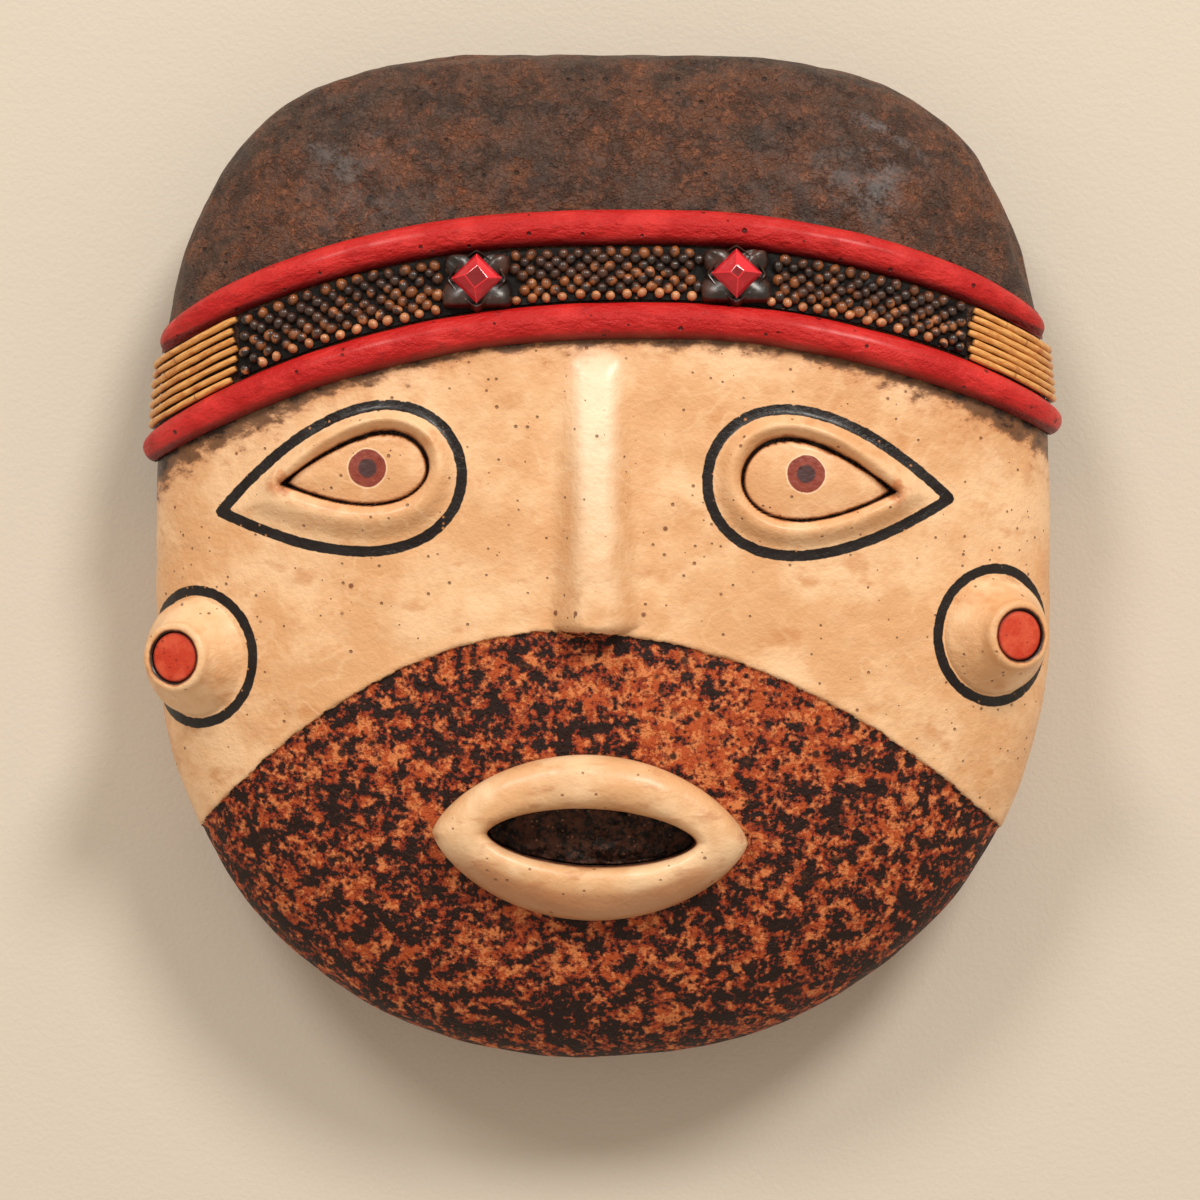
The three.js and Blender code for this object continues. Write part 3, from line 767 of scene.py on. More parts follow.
@dataclass
class Paintwork:
    """One material's board with its Principled shader and its object places."""

    name: str
    material: bpy.types.Material = field(init=False)
    board: Board = field(init=False)
    shader: bpy.types.Node = field(init=False)

    def __post_init__(self) -> None:
        """Makes the empty material."""
        self.material = bpy.data.materials.new(self.name)
        self.material.use_nodes = True
        self.board = Board(self.material.node_tree)
        self.shader = self.material.node_tree.nodes["Principled BSDF"]

    def place(self) -> Socket:
        """Returns the places on the piece."""
        return self.board.node("ShaderNodeTexCoord").outputs["Object"]

    def fixed(self, **values: float) -> None:
        """Sets the shader's own numbers that are the same all over."""
        for name, value in values.items():
            self.shader.inputs[name.replace("_", " ").title().replace("Ior", "IOR")].default_value = value

    def wear(self, colour: object, rough: object, height: object, depth: float, coat: object = None) -> None:
        """Joins the finish to its shader.

        Args:
            colour: the base colour.
            rough: the roughness.
            height: the fine relief.
            depth: how deep the fine relief is, in millimetres.
            coat: how much clear coat there is, if any.
        """
        self.board.feed(self.shader.inputs["Base Color"], colour)
        self.board.feed(self.shader.inputs["Roughness"], rough)
        if coat is not None:
            self.board.feed(self.shader.inputs["Coat Weight"], coat)
        bump = self.board.node("ShaderNodeBump")
        bump.inputs["Distance"].default_value = depth * MM
        self.board.feed(bump.inputs["Height"], height)
        self.board.feed(self.shader.inputs["Normal"], bump.outputs["Normal"])


class Finish:
    """What all finishes share: each paints the material that has its name."""

    name: ClassVar[str]

    def paint(self, work: Paintwork, board: Board) -> None:
        """Builds the nodes of the finish."""
        raise NotImplementedError

    def material(self) -> bpy.types.Material:
        """Returns a new material with the finish."""
        work = Paintwork(self.name)
        self.paint(work, work.board)
        return work.material


@dataclass(frozen=True)
class FacePaint(Finish):
    """The waxed tan of the face, the mottled chin and what is painted over both."""

    name: ClassVar[str] = "face_paint"
    tan: Colour = srgb(220, 168, 120)
    pale_tan: Colour = srgb(238, 197, 154)
    warm_tan: Colour = srgb(198, 134, 82)
    highlight_tan: Colour = srgb(247, 225, 196)
    speck: Colour = srgb(104, 50, 24)
    rust: Colour = srgb(176, 76, 32)
    pale_rust: Colour = srgb(216, 130, 76)
    red_rust: Colour = srgb(108, 24, 12)
    char: Colour = srgb(32, 9, 4)
    line: Colour = srgb(22, 14, 13)
    grime_and_shade: Colour = srgb(88, 58, 38)
    dark_grime_and_shade: Colour = srgb(38, 22, 16)
    orange_stain_and_shade: Colour = srgb(186, 104, 50)
    iris: Colour = srgb(162, 82, 64)
    pupil: Colour = srgb(74, 48, 50)
    iris_rim: Colour = srgb(242, 210, 176)
    iris_radius: float = 4.6
    pupil_radius: float = 2.3
    line_half_width: float = 1.32

    def _tan(self, board: Board, place: Socket) -> Socket:
        """Returns the tan ground with its clouds and brown specks."""
        clouds = board.noise(place, 45, 4, 0.6)
        ground = board.fade(self.tan, self.pale_tan, clouds, 0.42, 0.66)
        warm = board.noise(board.stretch(place, (1, 1.4, 1)), 90, 3, 0.55)
        ground = board.fade(ground, self.warm_tan, warm, 0.56, 0.74, 0.6)
        strokes = board.curls(place, 120, 0.05, 0.9)
        ground = board.over(ground, self.pale_tan, strokes, 0.5)
        # A painted highlight along the top of the nose's ridge.
        nose_highlight = board.times(board.attribute("nose_highlight"), board.ramp(clouds, 0.3, 0.6, 0.55, 1))
        ground = board.mix(nose_highlight, ground, self.highlight_tan)
        fine = board.specks(place, 420, 0.17, 0.42)
        large = board.specks(place, 140, 0.1, 0.45)
        ground = board.over(ground, self.speck, fine, 0.7)
        return board.over(ground, self.speck, large, 0.85)

    def _mottled(self, board: Board, place: Socket) -> Socket:
        """Returns the chin's rust ground with its pale blobs and charred patches."""
        pale = board.mottle(place, 290, 0.46, 0.03)
        ground = board.over(self.rust, self.pale_rust, pale, 0.85)
        where = board.minus(board.noise(place, 75, 2), board.attribute("clean"))
        cover = board.ramp(where, 0.15, 0.72, 0.16, 0.56)
        halo = board.plus(cover, 0.22)
        reds = board.mottle(place, 250, halo, 0.04)
        ground = board.over(ground, self.red_rust, reds, 0.85)
        chars = board.mottle(place, 250, cover, 0.01)
        ground = board.mix(chars, ground, self.char)
        blots = board.specks(place, 310, 0.36, 0.4)
        ground = board.over(ground, self.char, blots, 0.9)
        dots = board.specks(place, 560, 0.32, 0.42)
        return board.over(ground, self.char, dots, 0.9)

    def _painted_lines(self, board: Board, place: Socket, ground: Socket) -> tuple[Socket, Socket]:
        """Returns the ground with the black lines on it, and where they are."""
        gap = board.frayed("line", place, 0.55, 520, 2)
        mask = board.ramp(gap, self.line_half_width + 0.12, self.line_half_width - 0.12)
        glints = board.specks(place, 640, 0.26, 0.22)
        ink = board.over(self.line, self.warm_tan, glints, 0.7)
        return board.mix(mask, ground, ink), mask

    def _eyes(self, board: Board, place: Socket, ground: Socket) -> Socket:
        """Returns the ground with the irises and the painted shade, in stained browns, of the crevices around
        the eyeballs.
        """
        gap = board.frayed("iris", place, 0.7, 260, 2)
        iris, pupil = self.iris_radius, self.pupil_radius
        ground = board.fade(ground, self.iris_rim, gap, iris + 0.55, iris + 0.2, 0.75)
        cloudy = board.mix(board.noise(place, 700, 3), self.iris, self.red_rust)
        ground = board.fade(ground, cloudy, gap, iris + 0.15, iris - 0.1)
        ground = board.fade(ground, self.pupil, gap, pupil + 0.3, pupil - 0.3)
        # Painted shade in the grooves around the eyeballs, on the slopes above them and in the gaps round the
        # knobs' discs, laid in stained browns.
        crevice = board.frayed("crevice", place, 0.9, 330, 4, 0.6)
        ground = board.fade(ground, self.orange_stain_and_shade, crevice, 0.12, 0.42, 0.7)
        ground = board.fade(ground, self.grime_and_shade, crevice, 0.38, 0.62, 0.75)
        return board.fade(ground, self.dark_grime_and_shade, crevice, 0.66, 0.86)

    def _grime_and_shade(self, board: Board, place: Socket, ground: Socket) -> Socket:
        """Returns the ground with the dirt below the band, painted shade right under the roll and painted
        shade down the sides.
        """
        # Dirt below the lower roll, with painted shade at the roll's foot, and painted shade darkening the
        # sides.
        dirt = board.frayed("grime_and_shade", board.stretch(place, (1, 1.6, 1)), 1.7, 150, 5, 0.68)
        ground = board.fade(ground, self.orange_stain_and_shade, dirt, 0.12, 0.75, 0.55)
        ground = board.fade(ground, self.grime_and_shade, dirt, 0.4, 0.72, 0.85)
        return board.fade(ground, self.dark_grime_and_shade, dirt, 0.78, 1.05, 0.92)

    def paint(self, work: Paintwork, board: Board) -> None:
        """Builds the nodes."""
        place = work.place()
        border = board.frayed("border", place, 1.6, 420, 3, 0.6)
        chin = board.ramp(border, 0.15, -0.15)
        ground = board.mix(chin, self._tan(board, place), self._mottled(board, place))
        ground = self._grime_and_shade(board, place, ground)
        ground = self._eyes(board, place, ground)
        ground, ink = self._painted_lines(board, place, ground)
        grain = board.grain(place, 160, 0.35)
        pits = board.specks(place, 420, 0.17, 0.42)
        crust = board.mottle(place, 330, 0.45, 0.05)
        height = board.minus(grain, board.times(pits, 0.5))
        height = board.minus(height, board.times(board.times(crust, chin), 0.3))
        rough = board.ramp(grain, 0.25, 0.75, 0.36, 0.54)
        rough = board.minus(rough, board.times(ink, 0.06))
        rough = board.plus(rough, board.times(chin, 0.2))
        work.fixed(specular_ior_level=0.3, coat_roughness=0.24)
        coat = board.times(board.ramp(grain, 0.3, 0.7), board.ramp(chin, 0, 1, 0.46, 0.05))
        work.wear(ground, rough, height, 0.75, coat)


@dataclass(frozen=True)
class CapPitch(Finish):
    """The cap's dark glossy pitch over rusty brown."""

    name: ClassVar[str] = "cap_pitch"
    pitch: Colour = srgb(76, 54, 44)
    rust: Colour = srgb(122, 72, 46)
    deep: Colour = srgb(28, 19, 17)
    bright_rust: Colour = srgb(140, 78, 46)

    def paint(self, work: Paintwork, board: Board) -> None:
        """Builds the nodes."""
        place = work.place()
        clouds = board.mottle(place, 42, 0.5, 0.12)
        flecks = board.mottle(place, 480, 0.45, 0.06)
        brown = board.times(clouds, board.plus(board.times(flecks, 0.55), 0.45))
        ground = board.mix(brown, self.pitch, self.rust)
        curls = board.curls(place, 340, 0.035, 0.9)
        ground = board.over(ground, self.bright_rust, curls, 0.55)
        stains = board.mottle(place, 130, 0.42, 0.05)
        ground = board.over(ground, self.deep, stains, 0.55)
        pits = board.specks(place, 330, 0.2, 0.35)
        ground = board.over(ground, self.deep, pits, 0.7)
        glints = board.specks(place, 460, 0.16, 0.18)
        ground = board.over(ground, self.bright_rust, glints, 0.6)
        grain = board.grain(place, 190, 0.45)
        height = board.minus(grain, board.times(pits, 0.6))
        height = board.minus(height, board.times(curls, 0.3))
        height = board.plus(height, board.times(flecks, 0.2))
        rough = board.ramp(grain, 0.3, 0.7, 0.4, 0.64)
        work.fixed(specular_ior_level=0.42, coat_roughness=0.3)
        wet = board.times(board.ramp(clouds, 0, 1, 1, 0.5), board.ramp(grain, 0.4, 0.6))
        work.wear(ground, rough, height, 2.4, board.times(wet, 0.22))


@dataclass(frozen=True)
class BareWood(Finish):
    """The gouged wood of the shell's inside and rim."""

    name: ClassVar[str] = "bare_wood"
    wood: Colour = srgb(150, 110, 72)
    dark: Colour = srgb(92, 62, 40)
    pale: Colour = srgb(186, 146, 102)

    def paint(self, work: Paintwork, board: Board) -> None:
        """Builds the nodes."""
        place = work.place()
        rings = board.noise(board.stretch(place, (1, 0.08, 1)), 260, 4, 0.6)
        ground = board.fade(self.dark, self.wood, rings, 0.35, 0.65)
        ground = board.fade(ground, self.pale, board.noise(place, 40, 4), 0.5, 0.75, 0.6)
        marks = board.specks(place, 240, 0.15, 0.2)
        ground = board.over(ground, self.dark, marks, 0.7)
        work.fixed(specular_ior_level=0.3)
        work.wear(ground, board.ramp(rings, 0.3, 0.7, 0.6, 0.8), rings, 0.5)


@dataclass(frozen=True)
class LipWax(Finish):
    """The smooth waxed tan of the mouth ring."""

    name: ClassVar[str] = "lip_wax"
    tan: Colour = srgb(220, 170, 122)
    pale: Colour = srgb(238, 200, 158)
    shaded: Colour = srgb(176, 116, 74)
    speck: Colour = srgb(140, 84, 48)
    stain_and_shade: Colour = srgb(170, 92, 46)
    dark: Colour = srgb(62, 34, 22)

    def paint(self, work: Paintwork, board: Board) -> None:
        """Builds the nodes."""
        place = work.place()
        clouds = board.noise(place, 60, 3, 0.55)
        ground = board.fade(self.tan, self.pale, clouds, 0.4, 0.65)
        streaks = board.noise(board.stretch(place, (1, 2.6, 1)), 110, 4, 0.6)
        ground = board.fade(ground, self.stain_and_shade, streaks, 0.52, 0.7, 0.4)
        # Painted shade on the ring's lower outer side.
        ground = board.fade(ground, self.shaded, board.attribute("below"), 0, 1, 0.8)
        specks = board.specks(place, 380, 0.17, 0.4)
        ground = board.over(ground, self.speck, specks, 0.75)
        # Real dirt in the right corner, with painted shade low inside the hole and on the lower side, and a
        # darker foot.
        dirt = board.frayed("stain_and_shade", place, 0.9, 240, 4, 0.6)
        ground = board.fade(ground, self.stain_and_shade, dirt, 0.3, 0.75, 0.8)
        ground = board.fade(ground, self.dark, dirt, 0.75, 1.05, 0.95)
        grain = board.grain(place, 150, 0.3)
        height = board.minus(grain, board.times(specks, 0.4))
        work.fixed(specular_ior_level=0.45, coat_roughness=0.25)
        work.wear(ground, board.ramp(grain, 0.3, 0.7, 0.34, 0.5), height, 0.7, 0.25)


@dataclass(frozen=True)
class Stuffing(Finish):
    """The rough blackened filling behind the mouth."""

    name: ClassVar[str] = "mouth_filling"
    black: Colour = srgb(14, 8, 6)
    brown: Colour = srgb(92, 58, 44)
    ash: Colour = srgb(170, 122, 94)

    def paint(self, work: Paintwork, board: Board) -> None:
        """Builds the nodes."""
        place = work.place()
        crust = board.mottle(place, 420, 0.5, 0.08)
        ground = board.mix(crust, self.black, self.brown)
        flecks = board.specks(place, 800, 0.3, 0.2)
        ground = board.over(ground, self.ash, flecks, 0.6)
        grain = board.grain(place, 420, 0.5)
        work.fixed(specular_ior_level=0.4)
        work.wear(ground, board.ramp(crust, 0, 1, 0.5, 0.8), grain, 0.7)


@dataclass(frozen=True)
class RollPaint(Finish):
    """The thick red paint of the rolls, wrinkled lengthwise and pitted."""

    name: ClassVar[str] = "roll_red"
    red: Colour = srgb(186, 12, 13)
    bright: Colour = srgb(210, 30, 27)
    deep: Colour = srgb(98, 5, 8)
    pit: Colour = srgb(46, 4, 6)

    def paint(self, work: Paintwork, board: Board) -> None:
        """Builds the nodes."""
        strand = board.attribute_place("strand")
        wrinkles = board.noise(board.stretch(strand, (0.6, 1, 1)), 0.4, 3, 0.6)
        clouds = board.noise(strand, 0.09, 3, 0.5)
        ground = board.fade(self.red, self.bright, clouds, 0.4, 0.7)
        ground = board.fade(ground, self.deep, wrinkles, 0.42, 0.26, 0.4)
        pits = board.specks(work.place(), 330, 0.19, 0.38)
        ground = board.over(ground, self.pit, pits, 0.85)
        # Painted shade on each roll's lower side and where it meets the skin.
        under = board.attribute("under")
        ground = board.fade(ground, self.deep, under, 0.45, 1, 0.85)
        fine = board.noise(strand, 2.4, 3, 0.6)
        height = board.plus(wrinkles, board.times(fine, 0.22))
        height = board.minus(height, board.times(pits, 0.8))
        rough = board.ramp(fine, 0.3, 0.7, 0.4, 0.56)
        work.fixed(specular_ior_level=0.35, coat_roughness=0.26)
        work.wear(ground, rough, height, 1.3, board.ramp(clouds, 0.4, 0.65, 0.05, 0.3))


@dataclass(frozen=True)
class SeedShell(Finish):
    """The seeds' glossy shells, from near black to pale tan by each seed's own tone."""

    name: ClassVar[str] = "seed_shell"
    black: Colour = srgb(26, 18, 17)
    brown: Colour = srgb(74, 43, 29)
    golden: Colour = srgb(146, 84, 42)
    tan: Colour = srgb(206, 142, 98)

    def paint(self, work: Paintwork, board: Board) -> None:
        """Builds the nodes."""
        place = work.place()
        tone = board.attribute("tone")
        ground = board.fade(self.black, self.brown, tone, 0, 0.35)
        ground = board.fade(ground, self.golden, tone, 0.35, 0.7)
        ground = board.fade(ground, self.tan, tone, 0.7, 1)
        skin = board.noise(place, 900, 3, 0.6)
        ground = board.fade(ground, self.black, skin, 0.5, 0.8, 0.4)
        work.fixed(specular_ior_level=0.5, coat_roughness=0.12)
        work.wear(ground, board.ramp(skin, 0.3, 0.7, 0.3, 0.45), skin, 0.12, 0.45)


@dataclass(frozen=True)
class PitchBed(Finish):
    """The black glossy pitch that the seeds sit in."""

    name: ClassVar[str] = "pitch_bed"
    black: Colour = srgb(9, 6, 6)
    brown: Colour = srgb(150, 92, 58)

    def paint(self, work: Paintwork, board: Board) -> None:
        """Builds the nodes."""
        place = work.place()
        grain = board.grain(place, 520, 0.4)
        crumbs = board.specks(place, 620, 0.3, 0.22)
        ground = board.over(self.black, self.brown, crumbs, 0.8)
        work.fixed(specular_ior_level=0.16, coat_roughness=0.2)
        work.wear(ground, board.ramp(grain, 0.3, 0.7, 0.4, 0.65), grain, 0.5, 0.04)


@dataclass(frozen=True)
class SplitCane(Finish):
    """The straw-coloured canes, striped lengthwise, browned at their nodes."""

    name: ClassVar[str] = "split_cane"
    straw: Colour = srgb(208, 136, 64)
    pale: Colour = srgb(232, 176, 104)
    orange: Colour = srgb(180, 90, 32)
    brown: Colour = srgb(104, 50, 18)

    def paint(self, work: Paintwork, board: Board) -> None:
        """Builds the nodes."""
        strand = board.attribute_place("strand")
        fibres = board.noise(board.stretch(strand, (0.12, 1, 1)), 3.2, 3, 0.6)
        ground = board.fade(self.straw, self.pale, fibres, 0.35, 0.65)
        clouds = board.noise(strand, 0.3, 3, 0.5)
        ground = board.fade(ground, self.orange, clouds, 0.52, 0.75, 0.7)
        # Painted shade browns the side of each cane that faces the skin.
        ground = board.fade(ground, self.brown, board.attribute("under"), 0.35, 0.9, 0.9)
        ground = board.fade(ground, self.brown, board.attribute("node"), 0.3, 0.9, 0.55)
        work.fixed(specular_ior_level=0.5, coat_roughness=0.25)
        work.wear(ground, board.ramp(fibres, 0.3, 0.7, 0.32, 0.48), fibres, 0.18, 0.3)


@dataclass(frozen=True)
class DarkResin(Finish):
    """The stones' dark resin mounts, warm brown where they thin out."""

    name: ClassVar[str] = "dark_resin"
    black: Colour = srgb(26, 16, 13)
    brown: Colour = srgb(74, 42, 31)
    red: Colour = srgb(118, 34, 20)
    dust: Colour = srgb(150, 120, 104)

    def paint(self, work: Paintwork, board: Board) -> None:
        """Builds the nodes."""
        place = work.place()
        clouds = board.noise(place, 160, 3, 0.55)
        ground = board.fade(self.black, self.brown, clouds, 0.38, 0.66)
        ground = board.fade(ground, self.red, board.attribute("foot"), 0.2, 1, 0.7)
        dots = board.specks(place, 520, 0.2, 0.25)
        ground = board.over(ground, self.dust, dots, 0.5)
        grain = board.grain(place, 260, 0.3)
        work.fixed(specular_ior_level=0.5, coat_roughness=0.22)
        work.wear(ground, board.ramp(grain, 0.3, 0.7, 0.3, 0.46), grain, 0.3, 0.35)


@dataclass(frozen=True)
class RedGem(Finish):
    """The stones' cut red glass with painted light: facets lit and shaded at random, bright bevels, a dark
    table and painted glints.
    """

    name: ClassVar[str] = "red_gem"
    dark: Colour = srgb(84, 4, 12)
    red: Colour = srgb(176, 8, 26)
    bright: Colour = srgb(222, 34, 48)

    def paint(self, work: Paintwork, board: Board) -> None:
        """Builds the nodes."""
        place = work.place()
        # Painted light: facets lit and shaded at random, bright bevels as glints, a dark table.
        tone = board.attribute("facet_light")
        ground = board.fade(self.dark, self.red, tone, 0, 0.55)
        ground = board.fade(ground, self.bright, tone, 0.55, 1)
        # Painted glints in a soft haze.
        glint_haze = board.noise(place, 320, 3, 0.6)
        ground = board.fade(ground, self.bright, glint_haze, 0.5, 0.8, 0.35)
        # Small painted glints.
        painted_glints = board.specks(place, 700, 0.22, 0.15)
        ground = board.over(ground, self.bright, painted_glints, 0.5)
        work.fixed(specular_ior_level=0.5, coat_roughness=0.06, coat_weight=0.35)
        work.wear(ground, board.ramp(glint_haze, 0.3, 0.7, 0.18, 0.3), glint_haze, 0.1)


@dataclass(frozen=True)
class OrangeClay(Finish):
    """The discs' rough orange-red clay."""

    name: ClassVar[str] = "orange_clay"
    clay: Colour = srgb(196, 56, 28)
    pale: Colour = srgb(212, 84, 54)
    dark: Colour = srgb(124, 32, 16)

    def paint(self, work: Paintwork, board: Board) -> None:
        """Builds the nodes."""
        place = work.place()
        clouds = board.noise(place, 210, 4, 0.6)
        ground = board.fade(self.clay, self.pale, clouds, 0.4, 0.65)
        spots = board.specks(place, 620, 0.28, 0.35)
        ground = board.over(ground, self.dark, spots, 0.6)
        # Painted shade at the disc's rim, where it sits in the knob's pocket.
        ground = board.fade(ground, self.dark, board.attribute("edge"), 0.86, 1, 0.8)
        grain = board.grain(place, 420, 0.5)
        work.fixed(specular_ior_level=0.35)
        work.wear(ground, board.ramp(grain, 0.3, 0.7, 0.5, 0.68), grain, 0.3)


@dataclass(frozen=True)
class PlasterFloor(Finish):
    """The pale floor under the mask."""

    name: ClassVar[str] = "plain_floor"
    cream: Colour = srgb(212, 203, 190)

    def paint(self, work: Paintwork, board: Board) -> None:
        """Builds the nodes."""
        grain = board.grain(work.place(), 140, 0.6)
        work.fixed(specular_ior_level=0.1)
        work.wear(self.cream, 0.85, grain, 0.25)


class Zone(Enum):
    """The material slots of the carved shell."""

    FACE = 0
    CAP = 1
    WOOD = 2
    THROAT = 3


def in_zone(bm: bmesh.types.BMesh, zone: Zone) -> bmesh.types.BMesh:
    """Gives every face of a mesh the same slot and returns the mesh."""
    for face in bm.faces:
        face.material_index = zone.value
    return bm


@dataclass(frozen=True)
class Nose:
    """The straight ridge of the nose, widening downwards to a blunt end."""

    x: float = -1.8
    top: float = 47.0
    bottom: float = -20.6
    top_width: float = 9.6
    bottom_width: float = 12.6
    height: float = 8.1
    end_curve: float = 4.5
    end_rounding: float = 3.4

    def end_y(self, x: Values) -> Values:
        """Returns the lower edge of the nose at each x."""
        return self.bottom + self.end_curve * (np.abs(x - self.x) / self.bottom_width) ** 2.2

    def end_gap(self, x: Values, y: Values) -> Values:
        """Returns how far points lie from the blunt end, large beside the nose."""
        beside = np.abs(x - self.x) > self.bottom_width
        return np.where(beside, 99.0, y - self.end_y(x))

    def relief(self, x: Values, y: Values) -> Values:
        """Returns the height of the nose over the dome."""
        down = (self.top - y) / (self.top - self.bottom)
        width = blend(self.top_width, self.bottom_width, np.clip(down, 0, 1))
        ridge = 1 - smooth(np.abs(x - self.x) / width, 0.2, 0.96)
        climb = np.sin(math.pi / 2 * np.clip(0.18 + down, 0, 1)) ** 1.4
        rise = self.height * climb * smooth(down, -0.08, 0.06)
        inward = np.clip((y - self.end_y(x)) / self.end_rounding, 0, 1)
        return rise * ridge * np.sqrt(1 - (1 - inward) ** 2)


@dataclass(frozen=True)
class Eye:
    """One eye: a painted outline, a raised rim, a crevice and an almost flat eyeball."""

    outline: Teardrop
    opening: Teardrop
    iris_x: float
    iris_y: float
    crest_share: float = 0.28
    crest: float = 3.2
    edge: float = 1.7
    socket_depth: float = 1.7
    ball_set: float = 0.9
    ball_bulge: float = 1.3
    ball_reach: float = 9.5
    slope_below: float = 0.35
    slope_above: float = 1.9

    def gaps(self, plan: Values) -> tuple[Values, Values]:
        """Returns how far points lie outside the opening and outside the outline."""
        reach = 40.0
        opening = signed_distance(plan, self.opening.points(), reach)
        return opening, signed_distance(plan, self.outline.points(), reach)

    def relief(self, plan: Values) -> Values:
        """Returns the height of the rim, crevice and eyeball over the dome."""
        opening, outline = self.gaps(plan)
        share = np.clip(opening / np.maximum(opening - outline, 1e-6), 0, 1)
        fall = np.clip((share - self.crest_share) / (1 - self.crest_share), 0, 1)
        apron = self.crest * (0.55 * (1 - smooth(fall, 0, 0.7)) + 0.45 * (1 - smooth(fall, 0, 1)))
        climb = np.clip(share / self.crest_share, 0, 1)
        lip = blend(self.edge, self.crest, np.sin(climb * math.pi / 2) ** 0.9)
        rim = np.where(share < self.crest_share, lip, apron)
        depth = np.maximum(0, -opening)
        slope = self.slope_width(plan)
        wall = blend(self.edge, -self.socket_depth, smooth(depth, -0.2, slope + 0.1))
        bulge = 1 - (1 - np.clip(depth / self.ball_reach, 0, 1)) ** 2
        ball = -self.ball_set + self.ball_bulge * bulge
        inner = blend(wall, ball, smooth(depth, slope, slope + 0.8))
        return np.where(opening < 0, inner, np.where(outline < 0, rim, 0.0))

    def slope_width(self, plan: Values) -> Values:
        """Returns how wide the socket's slope is, broad above the eyeball and narrow below it."""
        lift = (plan[:, 1] - self.opening.y) / self.opening.half_height
        return blend(self.slope_below, self.slope_above, smooth(lift, -0.3, 0.9))

    def crevice(self, plan: Values) -> Values:
        """Returns how dark the painted shade is in the groove around the eyeball, on the slope above it and
        at its pointed corner.
        """
        opening, _ = self.gaps(plan)
        slope = self.slope_width(plan)
        share = slope / self.slope_above
        groove = np.exp(-(((opening + slope) / blend(0.3, 0.42, share)) ** 2))
        # Painted shade on the slope above the eyeball.
        stain_and_shade = smooth(-opening, 0, slope) * (1 - smooth(-opening, slope, slope + 1.4))
        tip = self.opening.points()[0]
        corner = np.exp(-((plan - tip) ** 2).sum(axis=1) / 3.4**2)
        return np.clip(groove * blend(0.55, 0.9, share) + 0.6 * stain_and_shade + 0.5 * corner, 0, 1.2)

    def iris(self, plan: Values) -> Values:
        """Returns the distance of points from the middle of the iris."""
        return np.hypot(plan[:, 0] - self.iris_x, plan[:, 1] - self.iris_y)


@dataclass(frozen=True)
class Knob:
    """One leaning cheek knob with a pocket in its end, and the painted ring around its foot."""

    side: int
    set_in: float
    y: float
    lean: float
    base_radius: float = 15.2
    top_radius: float = 8.8
    height: float = 11.5
    root: float = 5.0
    pocket_radius: float = 6.4
    pocket_depth: float = 2.1
    ring_radius: float = 16.4

    def frame(self) -> Matrix:
        """Returns the place of the knob, with +Z along its axis."""
        x = self.side * (SHELL.half_width - self.set_in)
        z = float(SHELL.height(np.array([x]), np.array([self.y]))[0])
        turn = Matrix.Rotation(math.radians(self.side * self.lean), 4, "Y")
        return Matrix.Translation((x, self.y, z)) @ turn

    def profile(self) -> list[tuple[float, float]]:
        """Returns the knob's half section as radius and height, from its root to its pocket."""
        line = [(0.0, -self.root)]
        lip_width, lip_height = 1.35, 1.45
        for i in range(15):
            z = blend(-self.root, self.height - 1.9, i / 14)
            share = min(1.0, 1 - z / self.height)
            neck = 0.45 * math.exp(-(((z - self.height + 3.6) / 1.3) ** 2))
            flare = (self.base_radius - self.top_radius) * share**1.5
            line.append((self.top_radius - 0.35 - neck + flare, z))
        for i in range(1, 9):
            turn = i / 8 * math.radians(150)
            middle = (self.top_radius - lip_width, self.height - lip_height)
            line.append((middle[0] + lip_width * math.cos(turn), middle[1] + lip_height * math.sin(turn)))
        floor = self.height - self.pocket_depth
        return [*line, (self.pocket_radius, self.height - 0.7), (self.pocket_radius, floor), (0.0, floor)]

    def build(self, finishes: Sequence[bpy.types.Material]) -> bpy.types.Object:
        """Builds the knob as a closed solid of its own."""
        bm = spun(self.profile(), 72)
        places = corners(bm)
        _, radius = polar(places)
        outer = radius > self.pocket_radius + 0.1
        swell = ripple(places, 7.0, 3 + self.side) * 0.2 + ripple(places, 2.6, 5) * 0.06 - 0.12
        away = with_height(places[:, :2], radius * 0.4) / np.maximum(radius, 1)[:, None]
        move_corners(bm, places + away * swell[:, None] * outer[:, None])
        bm.transform(self.frame())
        return made("knob_solid", in_zone(bm, Zone.FACE), finishes)

    def ring_gap(self, places: Values) -> Values:
        """Returns how far places lie from the middle of the painted ring."""
        local = seen_from(self.frame(), places)
        _, radius = polar(local)
        return np.where(np.abs(local[:, 2]) < 16, np.abs(radius - self.ring_radius), 9.0)

    def shade(self, places: Values) -> Values:
        """Returns the darkening of the gap around the disc in the knob's end."""
        local = seen_from(self.frame(), places)
        _, radius = polar(local)
        return np.exp(-(((radius - self.pocket_radius) / 0.5) ** 2)) * (local[:, 2] > self.height - 3)


def spun(profile: Sequence[tuple[float, float]], steps: int) -> bmesh.types.BMesh:
    """Turns a half section of radius and height into a closed solid round +Z.

    Args:
        profile: the section from a point on the axis to another, or a closed section off the axis.
        steps: how many parts the full turn has.

    Returns:
        The mesh under construction.
    """
    bm = bmesh.new()
    line = [bm.verts.new((radius, 0.0, height)) for radius, height in profile]
    for first, second in zip(line, line[1:]):
        bm.edges.new((first, second))
    if profile[0][0] > 0:
        bm.edges.new((line[-1], line[0]))
    bmesh.ops.spin(
        bm, geom=[*bm.verts, *bm.edges], cent=(0, 0, 0), axis=(0, 0, 1), dvec=(0, 0, 0),
        angle=2 * math.pi, steps=steps, use_merge=True,
    )
    outwards(bm)
    return bm


